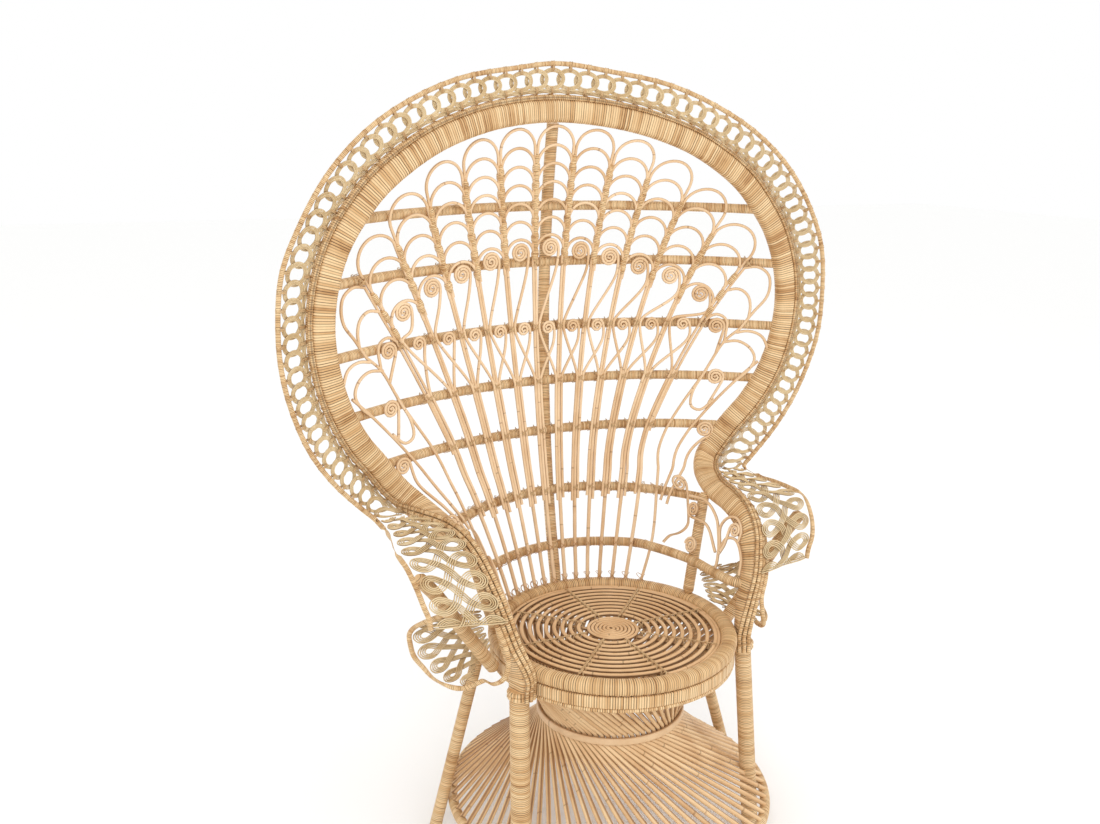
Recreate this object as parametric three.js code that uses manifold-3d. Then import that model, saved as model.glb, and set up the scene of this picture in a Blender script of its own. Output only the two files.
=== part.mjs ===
// Peacock chair of natural rattan: a balloon-shaped back on a round seat and an hourglass of canes.
// Millimetres, +Z up, the sitter faces -Y. The pieces are drawn about the middle of the seat's top.
import * as THREE from "three";
import { mergeVertices } from "three/addons/utils/BufferGeometryUtils.js";
import Module from "manifold-3d";

const wasm = await Module();
wasm.setup();

const half = 0.5;

// Clearances
const seam = 0.3; // between two pieces that touch
const laceSeam = 0.9; // between the lace's chords and the beading
const rodSeam = 1.7; // between the cross rods' chords and the fan
const loopSeam = 2.4; // between the chords of the outermost column and of the loops beside it
const weldReach = 0.001; // vertices closer than this are one

// Seat
const seatHeight = 380; // floor to the top of the woven seat
const seatRadius = 221;
const rollWidth = 28;
const rollTop = 10;
const rollBottom = 14;
const skirtHeight = 27;
const skirtThickness = 6;
const trimDiameter = 7;
const webCane = 7.5;
const webInset = 35; // from the seat's edge to the outermost cane of the web
const webOuterRadius = seatRadius - webInset;
const spokeCount = 8;
const spokeCane = 7;
const coilRadius = 45;
const coilCane = 6.4;
const coilPitch = 7.25;
const coilTurns = 5;
const webInnerGap = 9.6; // from the coil's edge to the innermost cane of the web
const webTurns = 9;
const webPitch = (webOuterRadius - coilRadius - webInnerGap) / webTurns;

// Hourglass and legs
const stickCount = 60;
const stickWidth = 9;
const stickThickness = 8;
const waistInset = 99;
const waistRadius = seatRadius - waistInset;
const waistDrop = 146;
const waistHeight = 13.5;
const waistThickness = 6;
const baseSpread = 66;
const baseRadius = seatRadius + baseSpread;
const baseDrop = 312;
const baseCane = 18;
const upperTwist = 34; // degrees between seat and waist
const lowerTwist = 50; // degrees between waist and base
const frontLeg = 27;
const rearLeg = 22;
const frontLegAzimuth = 68; // degrees from the front, at the seat
const frontLegOut = 16;
const frontLegRadius = seatRadius + frontLegOut;
const frontFootAzimuth = 61;
const frontFootOut = 44;
const frontFootRadius = seatRadius + frontFootOut;
const rearLegAzimuth = 112.7;
const rearLegOut = 12;
const rearLegRadius = seatRadius + rearLegOut;
const rearFootAzimuth = 102.9;
const rearFootOut = 106;
const rearFootRadius = seatRadius + rearFootOut;
const legTopDrop = 24;
const collarCane = 7;
const collarHeight = 14;
const collarSweep = 250; // degrees of each collar's arc, open towards the seat

// Hoop, its edge beading and the outer rim
const hoopHalfWidth = 458;
const hoopHeight = 895;
const hoopWidth = 40;
const hoopThickness = 24;
const hoopNose = 8;
const beadCane = 8;
const armSpread = 47; // the arms stand this much outside the seat
const armHalfWidth = seatRadius + armSpread;
const armHeight = 200;
const laceSideReach = 48; // from the beading to the rim at the widest place
const laceTopReach = 52;
const rimHalfWidth = hoopHalfWidth + hoopWidth * half + beadCane + laceSideReach;
const rimHeight = hoopHeight + hoopWidth * half + beadCane + laceTopReach;
const rimCane = 12;
const laceThickness = 4;
const laceStrand = 12.5;
const laceCount = 78;
const lacePitch = 34;
const laceWidth = 57;

// Back shell
const backOverhang = 58; // the shell's deepest point behind the seat's edge
const backDepth = seatRadius + backOverhang;
const spineBow = 69.6;
const spineBowHeight = 520;
const footInset = 12; // where the stakes stand on the seat roll
const footRadius = seatRadius - footInset;
const spinePole = 22;
const spineSetback = 20; // from the fan to the middle of the spine
const spineDrop = 40;
const rodPole = 18;
const rodDroop = 10;
const railHeight = 77;
const sidePost = 21;
const panelInset = 13; // from the seat's edge to the plane of the scrolls under the arm
const panelX = seatRadius - panelInset;
const railScrollOut = 2.6; // from that plane to the scroll that lies on the post

// Fan
const fanHeight = hoopHeight - hoopWidth * half;
const fanReach = hoopHalfWidth - hoopNose; // widest place of the fan beside the middle
const fanCane = 4.8;
const stakePitch = 22;
const stakeSpread = 39.4;
const stakeFlare = 19.1;
const outerFlareShare = 0.45;
const outerFlareStartShare = 0.333;
const flareColumn = 5.5;
const largeScroll = 33;
const smallScroll = 25;
const panelScroll = 30;
const scrollPitch = 5.9;
const archGap = 22; // from a large scroll's middle to the lowest arch above it

// Wings beside the arms
const wingSpread = 125; // the wings stand this much outside the arms
const wingReach = armHalfWidth + wingSpread;
const wingRise = 9;
const wingHeight = armHeight + wingRise;
const wingCount = 9;
const wingStartShare = 0.03;
const wingStrand = 14;
const wingPitch = 42;
const wingWidth = 96;
const lobeInset = 30;
const lobeReach = wingReach - lobeInset;
const lobeStartShare = 0.12;
const lobeEndShare = 0.84;
const lobeCount = 6;
const lobeStrand = 11;
const lobePitch = 36;
const lobeWidth = 96;
const lobeCane = 9;
const strutPole = 24;

const fullTurn = 2 * Math.PI;
const radians = (degrees) => (degrees * Math.PI) / 180;
const v = (x, y, z) => new THREE.Vector3(x, y, z);
const sides = [
  ["left", -1],
  ["right", 1],
];

// Colours of the finishes
const wrapped = new THREE.MeshStandardMaterial({ color: 0xd9ae6c, roughness: 0.55, metalness: 0 });
const cane = new THREE.MeshStandardMaterial({ color: 0xe3bf8e, roughness: 0.5, metalness: 0 });
const peel = new THREE.MeshStandardMaterial({ color: 0xe2cd9c, roughness: 0.6, metalness: 0 });

const chair = new THREE.Group();
chair.position.z = seatHeight;

function add(name, geometry, material) {
  const mesh = new THREE.Mesh(geometry, material);
  mesh.name = name;
  chair.add(mesh);
  return geometry;
}

// Solids, joins and cuts
function solidOf(geometry) {
  const bare = geometry.clone();
  bare.deleteAttribute("normal");
  bare.deleteAttribute("uv");
  const welded = mergeVertices(bare, weldReach);
  return new wasm.Manifold(
    new wasm.Mesh({
      numProp: 3,
      vertProperties: new Float32Array(welded.attributes.position.array),
      triVerts: new Uint32Array(welded.index.array),
    }),
  );
}

function geometryOf(solid) {
  const mesh = solid.getMesh();
  const geometry = new THREE.BufferGeometry();
  geometry.setAttribute("position", new THREE.BufferAttribute(mesh.vertProperties, 3));
  geometry.setIndex(new THREE.BufferAttribute(mesh.triVerts, 1));
  geometry.computeVertexNormals();
  return geometry;
}

const joined = (geometries) => geometryOf(geometries.map(solidOf).reduce((sum, next) => sum.add(next)));

// What is left of a piece after the cuts, without the scraps
function cut(geometry, cutters) {
  const rest = cutters.map(solidOf).reduce((left, cutter) => left.subtract(cutter), solidOf(geometry));
  return geometryOf(rest.decompose().reduce((main, body) => (body.volume() > main.volume() ? body : main)));
}

// Sections, with a flat side towards +y and -y
function flatSided(width, depth, corners) {
  const reach = half / Math.cos(Math.PI / corners);
  return Array.from({ length: corners }, (_, i) => {
    const angle = Math.PI / 2 + ((i + half) * fullTurn) / corners;
    return new THREE.Vector2(width * reach * Math.cos(angle), depth * reach * Math.sin(angle));
  });
}

// A thin cane has a flat back, which lies on what carries it.
const thinCane = (size) => [
  new THREE.Vector2(size * half, size * half),
  new THREE.Vector2(-size * half, size * half),
  new THREE.Vector2(0, -size * half),
];

// A cane through the points, its back turned to the normals
function laid(points, normals, section) {
  return lofted(
    points.map((p, i) => {
      const along = points[Math.min(i + 1, points.length - 1)].clone().sub(points[Math.max(i - 1, 0)]);
      const side = along.cross(normals[i]).normalize();
      return section.map((c) => p.clone().addScaledVector(side, c.x).addScaledVector(normals[i], c.y));
    }),
  );
}

// A pole through the points, in even steps
function swept(points, section, steps) {
  const path = new THREE.CatmullRomCurve3(points, false, "centripetal");
  const shape = new THREE.Shape(section);
  return new THREE.ExtrudeGeometry(shape, { steps, bevelEnabled: false, extrudePath: path });
}

// A closed tube through rings of points, with a flat cap at each end. Where it twists it folds inwards.
function lofted(rings) {
  const count = rings[0].length;
  const middles = rings.map((ring) => ring.reduce((sum, p) => sum.add(p), v(0, 0, 0)).divideScalar(count));
  const positions = rings.flat().flatMap((p) => [p.x, p.y, p.z]);
  const faces = [];
  rings.slice(1).forEach((_, r) => {
    for (let i = 0; i < count; i++) {
      const a = r * count + i;
      const b = r * count + ((i + 1) % count);
      const next = (i + 1) % count;
      const core = middles[r].clone().add(middles[r + 1]);
      const rising = rings[r][i].clone().add(rings[r + 1][next]).distanceToSquared(core);
      const falling = rings[r][next].clone().add(rings[r + 1][i]).distanceToSquared(core);
      if (rising < falling) faces.push(a, b, b + count, a, b + count, a + count);
      else faces.push(a, b, a + count, b, b + count, a + count);
    }
  });
  const last = (rings.length - 1) * count;
  for (let i = 1; i < count - 1; i++) {
    faces.push(0, i + 1, i, last, last + i, last + i + 1);
  }
  return facingOut(positions, faces);
}

function facingOut(positions, faces) {
  const corner = (i) => v(positions[3 * i], positions[3 * i + 1], positions[3 * i + 2]);
  let volume = 0;
  for (let i = 0; i < faces.length; i += 3) {
    volume += corner(faces[i]).dot(corner(faces[i + 1]).cross(corner(faces[i + 2])));
  }
  const geometry = new THREE.BufferGeometry();
  geometry.setAttribute("position", new THREE.Float32BufferAttribute(positions, 3));
  geometry.setIndex(volume < 0 ? [...faces].reverse() : faces);
  return geometry;
}

// A straight pole whose ends are cut level.
function levelPole(top, foot, section) {
  return lofted([top, foot].map((end) => section.map((p) => v(end.x + p.x, end.y + p.y, end.z))));
}

function ring(radius, height, section, segments) {
  const profile = section.map((p) => new THREE.Vector2(radius + p.x, height + p.y));
  const turned = new THREE.LatheGeometry([...profile, profile[0].clone()], segments);
  turned.rotateX(Math.PI / 2);
  const welded = mergeVertices(stripped(turned), weldReach);
  return facingOut([...welded.attributes.position.array], [...welded.index.array]);
}

function stripped(geometry) {
  geometry.deleteAttribute("normal");
  geometry.deleteAttribute("uv");
  return geometry;
}

const around = (radius, azimuth, height) =>
  v(radius * Math.sin(radians(azimuth)), -radius * Math.cos(radians(azimuth)), height);

const mirrored = (points) => points.map((p) => v(-p.x, p.y, p.z));

// Hoop: the middle line and, beside it, the direction of its beaded edge, as shares of the sizes named here
const balloonShares = [
  [0, 0.882, 1, 0, 0, 1],
  [0.227, 0.826, 0.99, 0.12, 0, 0.99],
  [0.408, 0.75, 0.968, 0.24, 0, 0.97],
  [0.581, 0.681, 0.932, 0.42, 0, 0.91],
  [0.764, 0.627, 0.868, 0.65, 0, 0.76],
  [0.86, 0.608, 0.813, 0.8, 0, 0.6],
  [0.93, 0.593, 0.758, 0.91, 0, 0.42],
  [0.978, 0.581, 0.691, 0.98, 0, 0.2],
  [1, 0.577, 0.612, 1, 0, 0],
  [0.987, 0.585, 0.534, 0.98, 0, -0.2],
  [0.945, 0.606, 0.457, 0.9, 0, -0.44],
  [0.873, 0.65, 0.385, 0.81, 0, -0.58],
  [0.799, 0.695, 0.335, 0.77, 0, -0.64],
  [0.745, 0.722, 0.297, 0.78, 0, -0.6],
  [0.69, 0.71, 0.264, 0.86, -0.1, -0.42],
  [0.638, 0.6, 0.241, 0.97, -0.2, 0],
];
const armShares = [
  [1, 0.416, 1, 0.8, 0, 0.6],
  [0.978, 0.136, 0.97, 0.64, 0, 0.77],
  [0.966, -0.063, 0.9, 0.5, -0.35, 0.75],
  [0.948, -0.199, 0.775, 0.35, -0.75, 0.5],
  [0.929, -0.271, 0.63, 0.15, -0.95, 0.2],
  [0.907, -0.32, 0.48, 0, -1, 0],
  [0.865, -0.35, 0.25, -0.15, -0.97, 0],
];

const postRadius = seatRadius + seam + hoopThickness * half + beadCane / 4;
const postFoot = [0, -legTopDrop + seam].map((height) => around(postRadius, frontLegAzimuth, height));
const postEdge = v(-Math.cos(radians(frontLegAzimuth)), -Math.sin(radians(frontLegAzimuth)), 0);

const hoopHalf = [
  ...balloonShares.map(([x, y, z]) => v(x * hoopHalfWidth, y * backDepth, z * hoopHeight)),
  ...armShares.map(([x, y, z]) => v(x * armHalfWidth, y * seatRadius, z * armHeight)),
  ...postFoot,
];
const edgeHalf = [
  ...[...balloonShares, ...armShares].map(([, , , x, y, z]) => v(x, y, z)),
  postEdge,
  postEdge,
];
const fromFootToFoot = (points) => [...mirrored(points).reverse(), ...points.slice(1)];
const hoopLine = new THREE.CatmullRomCurve3(fromFootToFoot(hoopHalf), false, "centripetal");
const hoopEdge = new THREE.CatmullRomCurve3(fromFootToFoot(edgeHalf), false, "centripetal");
const controlCount = fromFootToFoot(hoopHalf).length;
const waistAt = (controlCount - balloonShares.length * 2 + 1) / 2 / (controlCount - 1);
const wingEndAt = 3 / (controlCount - 1);

// Middle, edge direction and flat direction of the hoop at the share t of its control points
function hoopFrame(t) {
  const middle = hoopLine.getPoint(t);
  const along = hoopLine.getTangent(t);
  const edge = hoopEdge.getPoint(t);
  edge.addScaledVector(along, -edge.dot(along)).normalize();
  return { middle, edge, flat: along.cross(edge).normalize() };
}

const across = (frame, outward, sideways) =>
  frame.middle.clone().addScaledVector(frame.edge, outward).addScaledVector(frame.flat, sideways);

const armStations = 13;
const balloonStations = 28;
const spaced = (from, to, steps) => Array.from({ length: steps }, (_, i) => from + ((to - from) * i) / steps);
const hoopStations = [
  ...spaced(0, waistAt, armStations),
  ...spaced(waistAt, 1 - waistAt, balloonStations),
  ...spaced(1 - waistAt, 1, armStations),
  1,
];
const hoopFrames = hoopStations.map(hoopFrame);

function hoopBand(grow) {
  const reach = hoopWidth * half + grow;
  const thick = hoopThickness * half + grow;
  const section = [
    [reach, thick],
    [hoopNose - reach, thick],
    [-reach, 0],
    [hoopNose - reach, -thick],
    [reach, -thick],
  ];
  return lofted(hoopFrames.map((frame) => section.map(([out, flat]) => across(frame, out, flat))));
}

const hoopCutter = hoopBand(seam);
add("hoop", hoopBand(0), wrapped);

const beadOut = hoopWidth * half + seam + beadCane * half;
["rear", "middle", "front"].forEach((name, i) => {
  const section = thinCane(beadCane);
  const shift = (i - 1) * (beadCane + seam);
  const rings = hoopFrames.map((frame) => section.map((p) => across(frame, beadOut - p.y, shift + p.x)));
  add(`edge_bead_${name}`, lofted(rings), cane);
});

// Outer rim and the ring lace between it and the beading
const rimShares = [
  [0, 0.86, 1],
  [0.169, 0.81, 0.989],
  [0.375, 0.728, 0.968],
  [0.552, 0.656, 0.93],
  [0.704, 0.584, 0.879],
  [0.833, 0.527, 0.81],
  [0.934, 0.498, 0.721],
  [0.983, 0.502, 0.653],
  [1, 0.509, 0.553],
  [0.991, 0.513, 0.483],
  [0.961, 0.534, 0.416],
  [0.914, 0.556, 0.351],
  [0.845, 0.573, 0.292],
  [0.76, 0.584, 0.24],
  [0.713, 0.584, 0.215],
];
const rimHalf = rimShares.map(([x, y, z]) => v(x * rimHalfWidth, y * backDepth, z * rimHeight));
const rimLine = new THREE.CatmullRomCurve3(fromFootToFoot(rimHalf), false, "centripetal");

// The line along the beading that the lace is tied to, between two shares of the hoop
const beadSide = hoopWidth * half + beadCane + seam + laceSeam;
const beadLine = (from, to, steps, clear = 0) =>
  new THREE.CatmullRomCurve3(
    [...spaced(from, to, steps), to].map((t) => across(hoopFrame(t), beadSide + clear, 0)),
    false,
    "centripetal",
  );
const waistSpan = beadLine(waistAt, 1 - waistAt, balloonStations);

// The strip between two lines, from inner at 0 to outer at 1, with its own flat direction
function strip(inner, outer) {
  return (along, acrossShare, off) => {
    const from = inner.getPointAt(along);
    const to = outer.getPointAt(along);
    const out = to.clone().sub(from).normalize();
    const flat = outer.getTangentAt(along).cross(out).normalize();
    return from.lerp(to, acrossShare).addScaledVector(flat, off);
  };
}

// Overlapping rings of flat peel, fused where they cross: one opening for each ring and a scalloped edge.
function laceSheet(place, count, pitch, width, strand, thickness) {
  const outer = width * half;
  const inner = outer - strand;
  const crossX = (inner * inner - outer * outer + pitch * pitch) / (2 * pitch);
  const crossY = Math.sqrt(inner * inner - crossX * crossX);
  const valley = outer + Math.sqrt(outer * outer - (pitch * pitch) / 4);
  const opening = [[crossX, crossY], [-crossX, crossY], [-crossX, -crossY], [crossX, -crossY]];
  const border = [[0, 0], [pitch, 0], [pitch, valley], [pitch * half, width], [0, valley]].map(
    ([x, y]) => new THREE.Vector2(x, y),
  );
  const hole = opening.map(([x, y]) => new THREE.Vector2(pitch * half + x, outer + y));
  const spots = [...border, ...hole];
  const flats = THREE.ShapeUtils.triangulateShape(border, [hole]);
  const size = spots.length;
  const positions = [];
  const faces = [];
  for (let cell = 0; cell < count; cell++) {
    const first = cell * size * 2;
    for (const level of [-half, half]) {
      for (const spot of spots) {
        const along = (cell + spot.x / pitch) / count;
        positions.push(...place(along, spot.y / width, level * thickness).toArray());
      }
    }
    for (const [a, b, c] of flats) {
      faces.push(first + a, first + c, first + b, first + size + a, first + size + b, first + size + c);
    }
    const wall = (a, b) => {
      const [low, high] = [first + a, first + b];
      faces.push(low, high, high + size, low, high + size, low + size);
    };
    wall(0, 1);
    wall(2, 3);
    wall(3, 4);
    if (cell === 0) wall(4, 0);
    if (cell === count - 1) wall(1, 2);
    hole.forEach((_, i) => wall(border.length + ((i + 1) % hole.length), border.length + i));
  }
  const sheet = new THREE.BufferGeometry();
  sheet.setAttribute("position", new THREE.Float32BufferAttribute(positions, 3));
  sheet.setIndex(faces);
  const welded = mergeVertices(sheet, weldReach);
  return facingOut([...welded.attributes.position.array], [...welded.index.array]);
}

// The rim is one cane: down the left wing, round the balloon and down the right wing
const wingRimShares = [
  [0.967, 0.462, 0.995],
  [0.977, 0.29, 1],
  [0.997, 0.09, 0.99],
  [1, -0.072, 0.976],
  [0.99, -0.163, 0.933],
  [0.972, -0.276, 0.81],
  [0.955, -0.327, 0.689],
  [0.934, -0.335, 0.574],
  [0.929, -0.335, 0.498],
];
const wingRimEnd = rimHalf[rimHalf.length - 1].clone();
const wingLine = new THREE.CatmullRomCurve3(
  [wingRimEnd, ...wingRimShares.map(([x, y, z]) => v(x * wingReach, y * seatRadius, z * wingHeight))],
  false,
  "centripetal",
);
const wingSpan = beadLine(1 - waistAt, 1 - wingEndAt, 12, 2 * rodSeam);

// Places along a rim, each with the direction away from the lace
const rimPlaces = (line, inner, steps) =>
  [...spaced(0, 1, steps), 1].map((at) => {
    const middle = line.getPointAt(at);
    return { middle, out: middle.clone().sub(inner.getPointAt(at)).normalize() };
  });
const turnedOver = ({ middle, out }) => ({ middle: mirrored([middle])[0], out: mirrored([out])[0] });

function laidRim(places, size) {
  return laid(places.map((p) => p.middle), places.map((p) => p.out), flatSided(size, size, 4));
}

const wingPlaces = rimPlaces(wingLine, wingSpan, 12).slice(1);
const balloonPlaces = rimPlaces(rimLine, waistSpan, laceCount / 2);
const wholeRim = [...wingPlaces.map(turnedOver).reverse(), ...balloonPlaces, ...wingPlaces];
add("outer_rim", laidRim(wholeRim, rimCane), wrapped);

// The line inside a rim that the lace reaches
function besideRim(line, inner, offset) {
  return {
    getPointAt: (at) => {
      const middle = line.getPointAt(at);
      return middle.addScaledVector(middle.clone().sub(inner.getPointAt(at)).normalize(), -offset);
    },
    getTangentAt: (at) => line.getTangentAt(at),
  };
}

const rimInside = rimCane * half + 2 * laceSeam;
const balloonPlace = strip(waistSpan, besideRim(rimLine, waistSpan, rimInside));
add("ring_lace", laceSheet(balloonPlace, laceCount, lacePitch, laceWidth, laceStrand, laceThickness), peel);

const indexed = (geometry) => mergeVertices(stripped(geometry), weldReach);

function mirrorOf(geometry) {
  const positions = [...geometry.attributes.position.array].map((n, i) => (i % 3 === 0 ? -n : n));
  return facingOut(positions, [...geometry.index.array]);
}

const wingStrip = strip(wingSpan, besideRim(wingLine, wingSpan, rimInside));
const wingPlace = (along, share, off) => wingStrip(wingStartShare + (1 - wingStartShare) * along, share, off);
const wingSheet = (grow) =>
  laceSheet(wingPlace, wingCount, wingPitch, wingWidth, wingStrand, laceThickness + grow);
const wingLace = wingSheet(0);
add("wing_lace_right", wingLace, peel);
add("wing_lace_left", mirrorOf(wingLace), peel);

// Back shell: at each height an arc through the spine and the inner edges of the hoop
const innerEdge = [...spaced(half, 1 - waistAt, balloonStations), 1 - waistAt]
  .slice(2)
  .map((t) => across(hoopFrame(t), -hoopWidth * half, 0));
const shellFoot = v(footRadius, 0, rollTop);
const shellTop = v(0, backDepth - spineBow * (fanHeight / spineBowHeight - 1) ** 2, fanHeight);
const shellEdges = [shellTop, ...innerEdge, shellFoot].sort((a, b) => a.z - b.z);

function shellEdge(z) {
  const above = Math.max(1, shellEdges.findIndex((p) => p.z >= z));
  const [low, high] = [shellEdges[above - 1], shellEdges[above]];
  const share = Math.min(1, Math.max(0, (z - low.z) / (high.z - low.z)));
  return low.clone().lerp(high, share);
}

function shellDepth(x, z) {
  const middle = backDepth - spineBow * ((z - spineBowHeight) / spineBowHeight) ** 2;
  const edge = shellEdge(z);
  const sag = Math.max(middle - edge.y, middle / spineBowHeight);
  const radius = (edge.x * edge.x + sag * sag) / (2 * sag);
  return middle - radius + Math.sqrt(Math.max(0, radius * radius - x * x));
}

function shellNormal(x, z) {
  const probe = fanHeight / 1000;
  return v(
    (shellDepth(x - probe, z) - shellDepth(x + probe, z)) / (2 * probe),
    1,
    (shellDepth(x, z - probe) - shellDepth(x, z + probe)) / (2 * probe),
  ).normalize();
}

const onShell = (x, z, off) => v(x, shellDepth(x, z), z).addScaledVector(shellNormal(x, z), off);

// A cane on the shell through places across and up
function onFan(places, section, off) {
  const points = places.map(([x, z]) => onShell(x, z, off));
  return laid(points, places.map(([x, z]) => shellNormal(x, z)), section);
}

// Place across the fan in columns from the middle: stakes are at the halves
function columnX(column, z) {
  const rise = z / fanHeight;
  const pitch = stakePitch + stakeSpread * rise + stakeFlare * rise * rise;
  const flare = outerFlareShare * Math.max(0, rise - outerFlareStartShare);
  return column * pitch * (1 + flare * Math.abs(column / flareColumn) ** 3);
}

// Cross rods, from the crown down, and the rail that runs on round the arms
const rodHeightShares = [0.829, 0.712, 0.573, 0.454, 0.344, 0.211];
const rodHeights = rodHeightShares.map((share) => share * fanHeight);
const rodOff = fanCane * half + rodSeam + rodPole * half;
const rodSpanShares = [-1, -0.82, -0.64, -0.45, -0.27, -0.09, 0.09, 0.27, 0.45, 0.64, 0.82, 1];

function crossRod(height, grow) {
  const reach = shellEdge(height - rodDroop).x + hoopWidth / 8;
  const places = rodSpanShares.map((share) => [share * reach, height - rodDroop * share * share]);
  return onFan(places, flatSided(rodPole + grow, rodPole + grow, 6), rodOff);
}

rodHeights.forEach((height, i) => add(`cross_rod_${i + 1}`, cut(crossRod(height, 0), [hoopCutter]), wrapped));

const railShares = [
  [0.79, 0.647, 0.38],
  [0.923, 0.308, 0.375],
  [0.959, 0.045, 0.365],
  [1.004, -0.226, 0.36],
  [1.06, -0.29, 0.36],
];
const railBackShares = [-0.67, -0.5, -0.25, 0, 0.25, 0.5, 0.67];
const railSide = railShares.map(([x, y, z]) => v(x * seatRadius, y * seatRadius, z * armHeight));
const railLine = [
  ...mirrored(railSide).reverse(),
  ...railBackShares.map((share) => onShell(share * seatRadius, railHeight, rodOff + 3 * rodSeam)),
  ...railSide,
];
const armRail = (grow) => swept(railLine, flatSided(rodPole + grow, rodPole + grow, 6), 24);
add("arm_rail", cut(armRail(0), [hoopCutter]), wrapped);

const spineHeightShares = [0.995, 0.9, 0.8, 0.7, 0.6, 0.5, 0.4, 0.3, 0.2, 0.1, 0.03];
const spineRadius = seatRadius + spinePole * half + seam;
const spineLine = [
  ...spineHeightShares.map((share) => onShell(0, share * fanHeight, spineSetback)),
  v(0, spineRadius, 0),
  v(0, spineRadius, -spineDrop),
];
const acrossSpine = [...rodHeights.map((height) => crossRod(height, 2 * seam)), armRail(2 * seam)];
const spineNormals = spineLine.map(() => v(0, 1, 0));
const spine = laid(spineLine, spineNormals, flatSided(spinePole, spinePole, 6));
add("spine", cut(spine, [hoopCutter, ...acrossSpine]), wrapped);

// Wound canes: each kind's least gap to itself, between points some canes apart along it
const leastGaps = {};
function wound(kind, places, size) {
  const corners = places.map((place) => v(...place, 0));
  const points = corners
    .slice(1)
    .flatMap((end, i) => spaced(0, 1, 4).map((at) => corners[i].clone().lerp(end, at)));
  let run = 0;
  const runs = points.map((p, i) => (run += i ? p.distanceTo(points[i - 1]) : 0));
  for (let i = 0; i < points.length; i++) {
    for (let j = 0; j < i; j++) {
      if (runs[i] - runs[j] < 2 * size) continue;
      const gap = points[i].distanceTo(points[j]) - size;
      leastGaps[kind] = Math.min(leastGaps[kind] ?? gap, gap);
    }
  }
  return places;
}

// Fan: columns of long U-shaped canes with arches and two rolled scrolls each
const scrollSteps = 8; // to a turn

// From the middle outwards, leaving downwards on the right, or later by a share of a turn
function scroll(x, z, size, turns, lateShare = 0) {
  const reach = (size - fanCane) * half;
  return Array.from({ length: Math.round((turns + lateShare) * scrollSteps) + 1 }, (_, i) => {
    const share = (turns * scrollSteps - i) / scrollSteps;
    const angle = share * fullTurn;
    const radius = reach - share * scrollPitch;
    return [x + radius * Math.cos(angle), z + radius * Math.sin(angle)];
  });
}

const mirroredScroll = (x, z, ...rest) => scroll(-x, z, ...rest).map(([across, up]) => [-across, up]);

const crownShares = [0.994, 0.987, 0.967, 0.927, 0.871, 0.798];
const archCounts = [7, 7, 7, 6, 5, 4];
const largeScrollShares = [0.747, 0.738, 0.723, 0.701, 0.679, 0.638];
const smallScrollShares = [0.571, 0.571, 0.57, 0.569, 0.568, 0.567];
const archAngles = [0, 60, 120, 180];
const tailShare = 0.4;
const archShare = 0.86; // an arch's cane against the long one's

const legX = (column, side, z) => columnX(column + side * half, z) - side * (fanCane + seam) * half;

// Half a turn between the column's legs, with its highest point at the apex
function arch(column, apex) {
  const lean = (columnX(column, apex) - columnX(column, apex - archGap)) / archGap;
  const reach = (legX(column, 1, apex - archGap) - legX(column, -1, apex - archGap)) * half;
  const base = apex - reach;
  const ends = [1, -1].map((side) => {
    const z = base - side * lean * reach;
    return new THREE.Vector2(legX(column, side, z), z);
  });
  const middle = ends[0].clone().add(ends[1]).multiplyScalar(half);
  const chord = ends[0].clone().sub(middle);
  const rise = new THREE.Vector2(-chord.y, chord.x);
  return archAngles.map((degrees) => {
    const p = middle.clone().addScaledVector(chord, Math.cos(radians(degrees)));
    return p.addScaledVector(rise, Math.sin(radians(degrees))).toArray();
  });
}

function fanColumn(column) {
  const rank = Math.abs(column);
  const crown = crownShares[rank] * fanHeight;
  const large = largeScrollShares[rank] * fanHeight;
  const small = smallScrollShares[rank] * fanHeight;
  const top = arch(column, crown);
  const [, second, third, fourth, fifth, sixth] = rodHeights;
  const legs = [1, -1].map((side) =>
    [rollTop + seam, sixth, fifth, fourth, third, second].map((z) => [legX(column, side, z), z]),
  );
  const parts = [[...legs[0], ...top, ...legs[1].reverse()]];
  const lowest = large + archGap;
  for (let i = 1; i < archCounts[rank]; i++) {
    parts.push(arch(column, crown + ((lowest - crown) * i) / (archCounts[rank] - 1)));
  }
  const largeX = columnX(column, large);
  const smallX = columnX(column, small);
  const largeRolled = [
    ...scroll(largeX, large, largeScroll, 1.5),
    [largeX + largeScroll * tailShare, large - largeScroll],
    [legX(column, -1, third), third],
    [legX(column, 1, fourth), fourth],
  ];
  const smallRolled = [...scroll(smallX, small, smallScroll, 1), [legX(column, -1, fourth), fourth]];
  parts.push(wound("large scrolls", largeRolled, fanCane), wound("small scrolls", smallRolled, fanCane));
  const canes = parts.map((places, i) => onFan(places, thinCane(i === 0 ? fanCane : fanCane * archShare), 0));
  return cut(joined(canes), [hoopCutter]);
}

for (let column = -5; column <= 5; column++) {
  const name = column === 0 ? "centre" : `${column < 0 ? "left" : "right"}_${Math.abs(column)}`;
  add(`fan_column_${name}`, fanColumn(column), cane);
}

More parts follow.
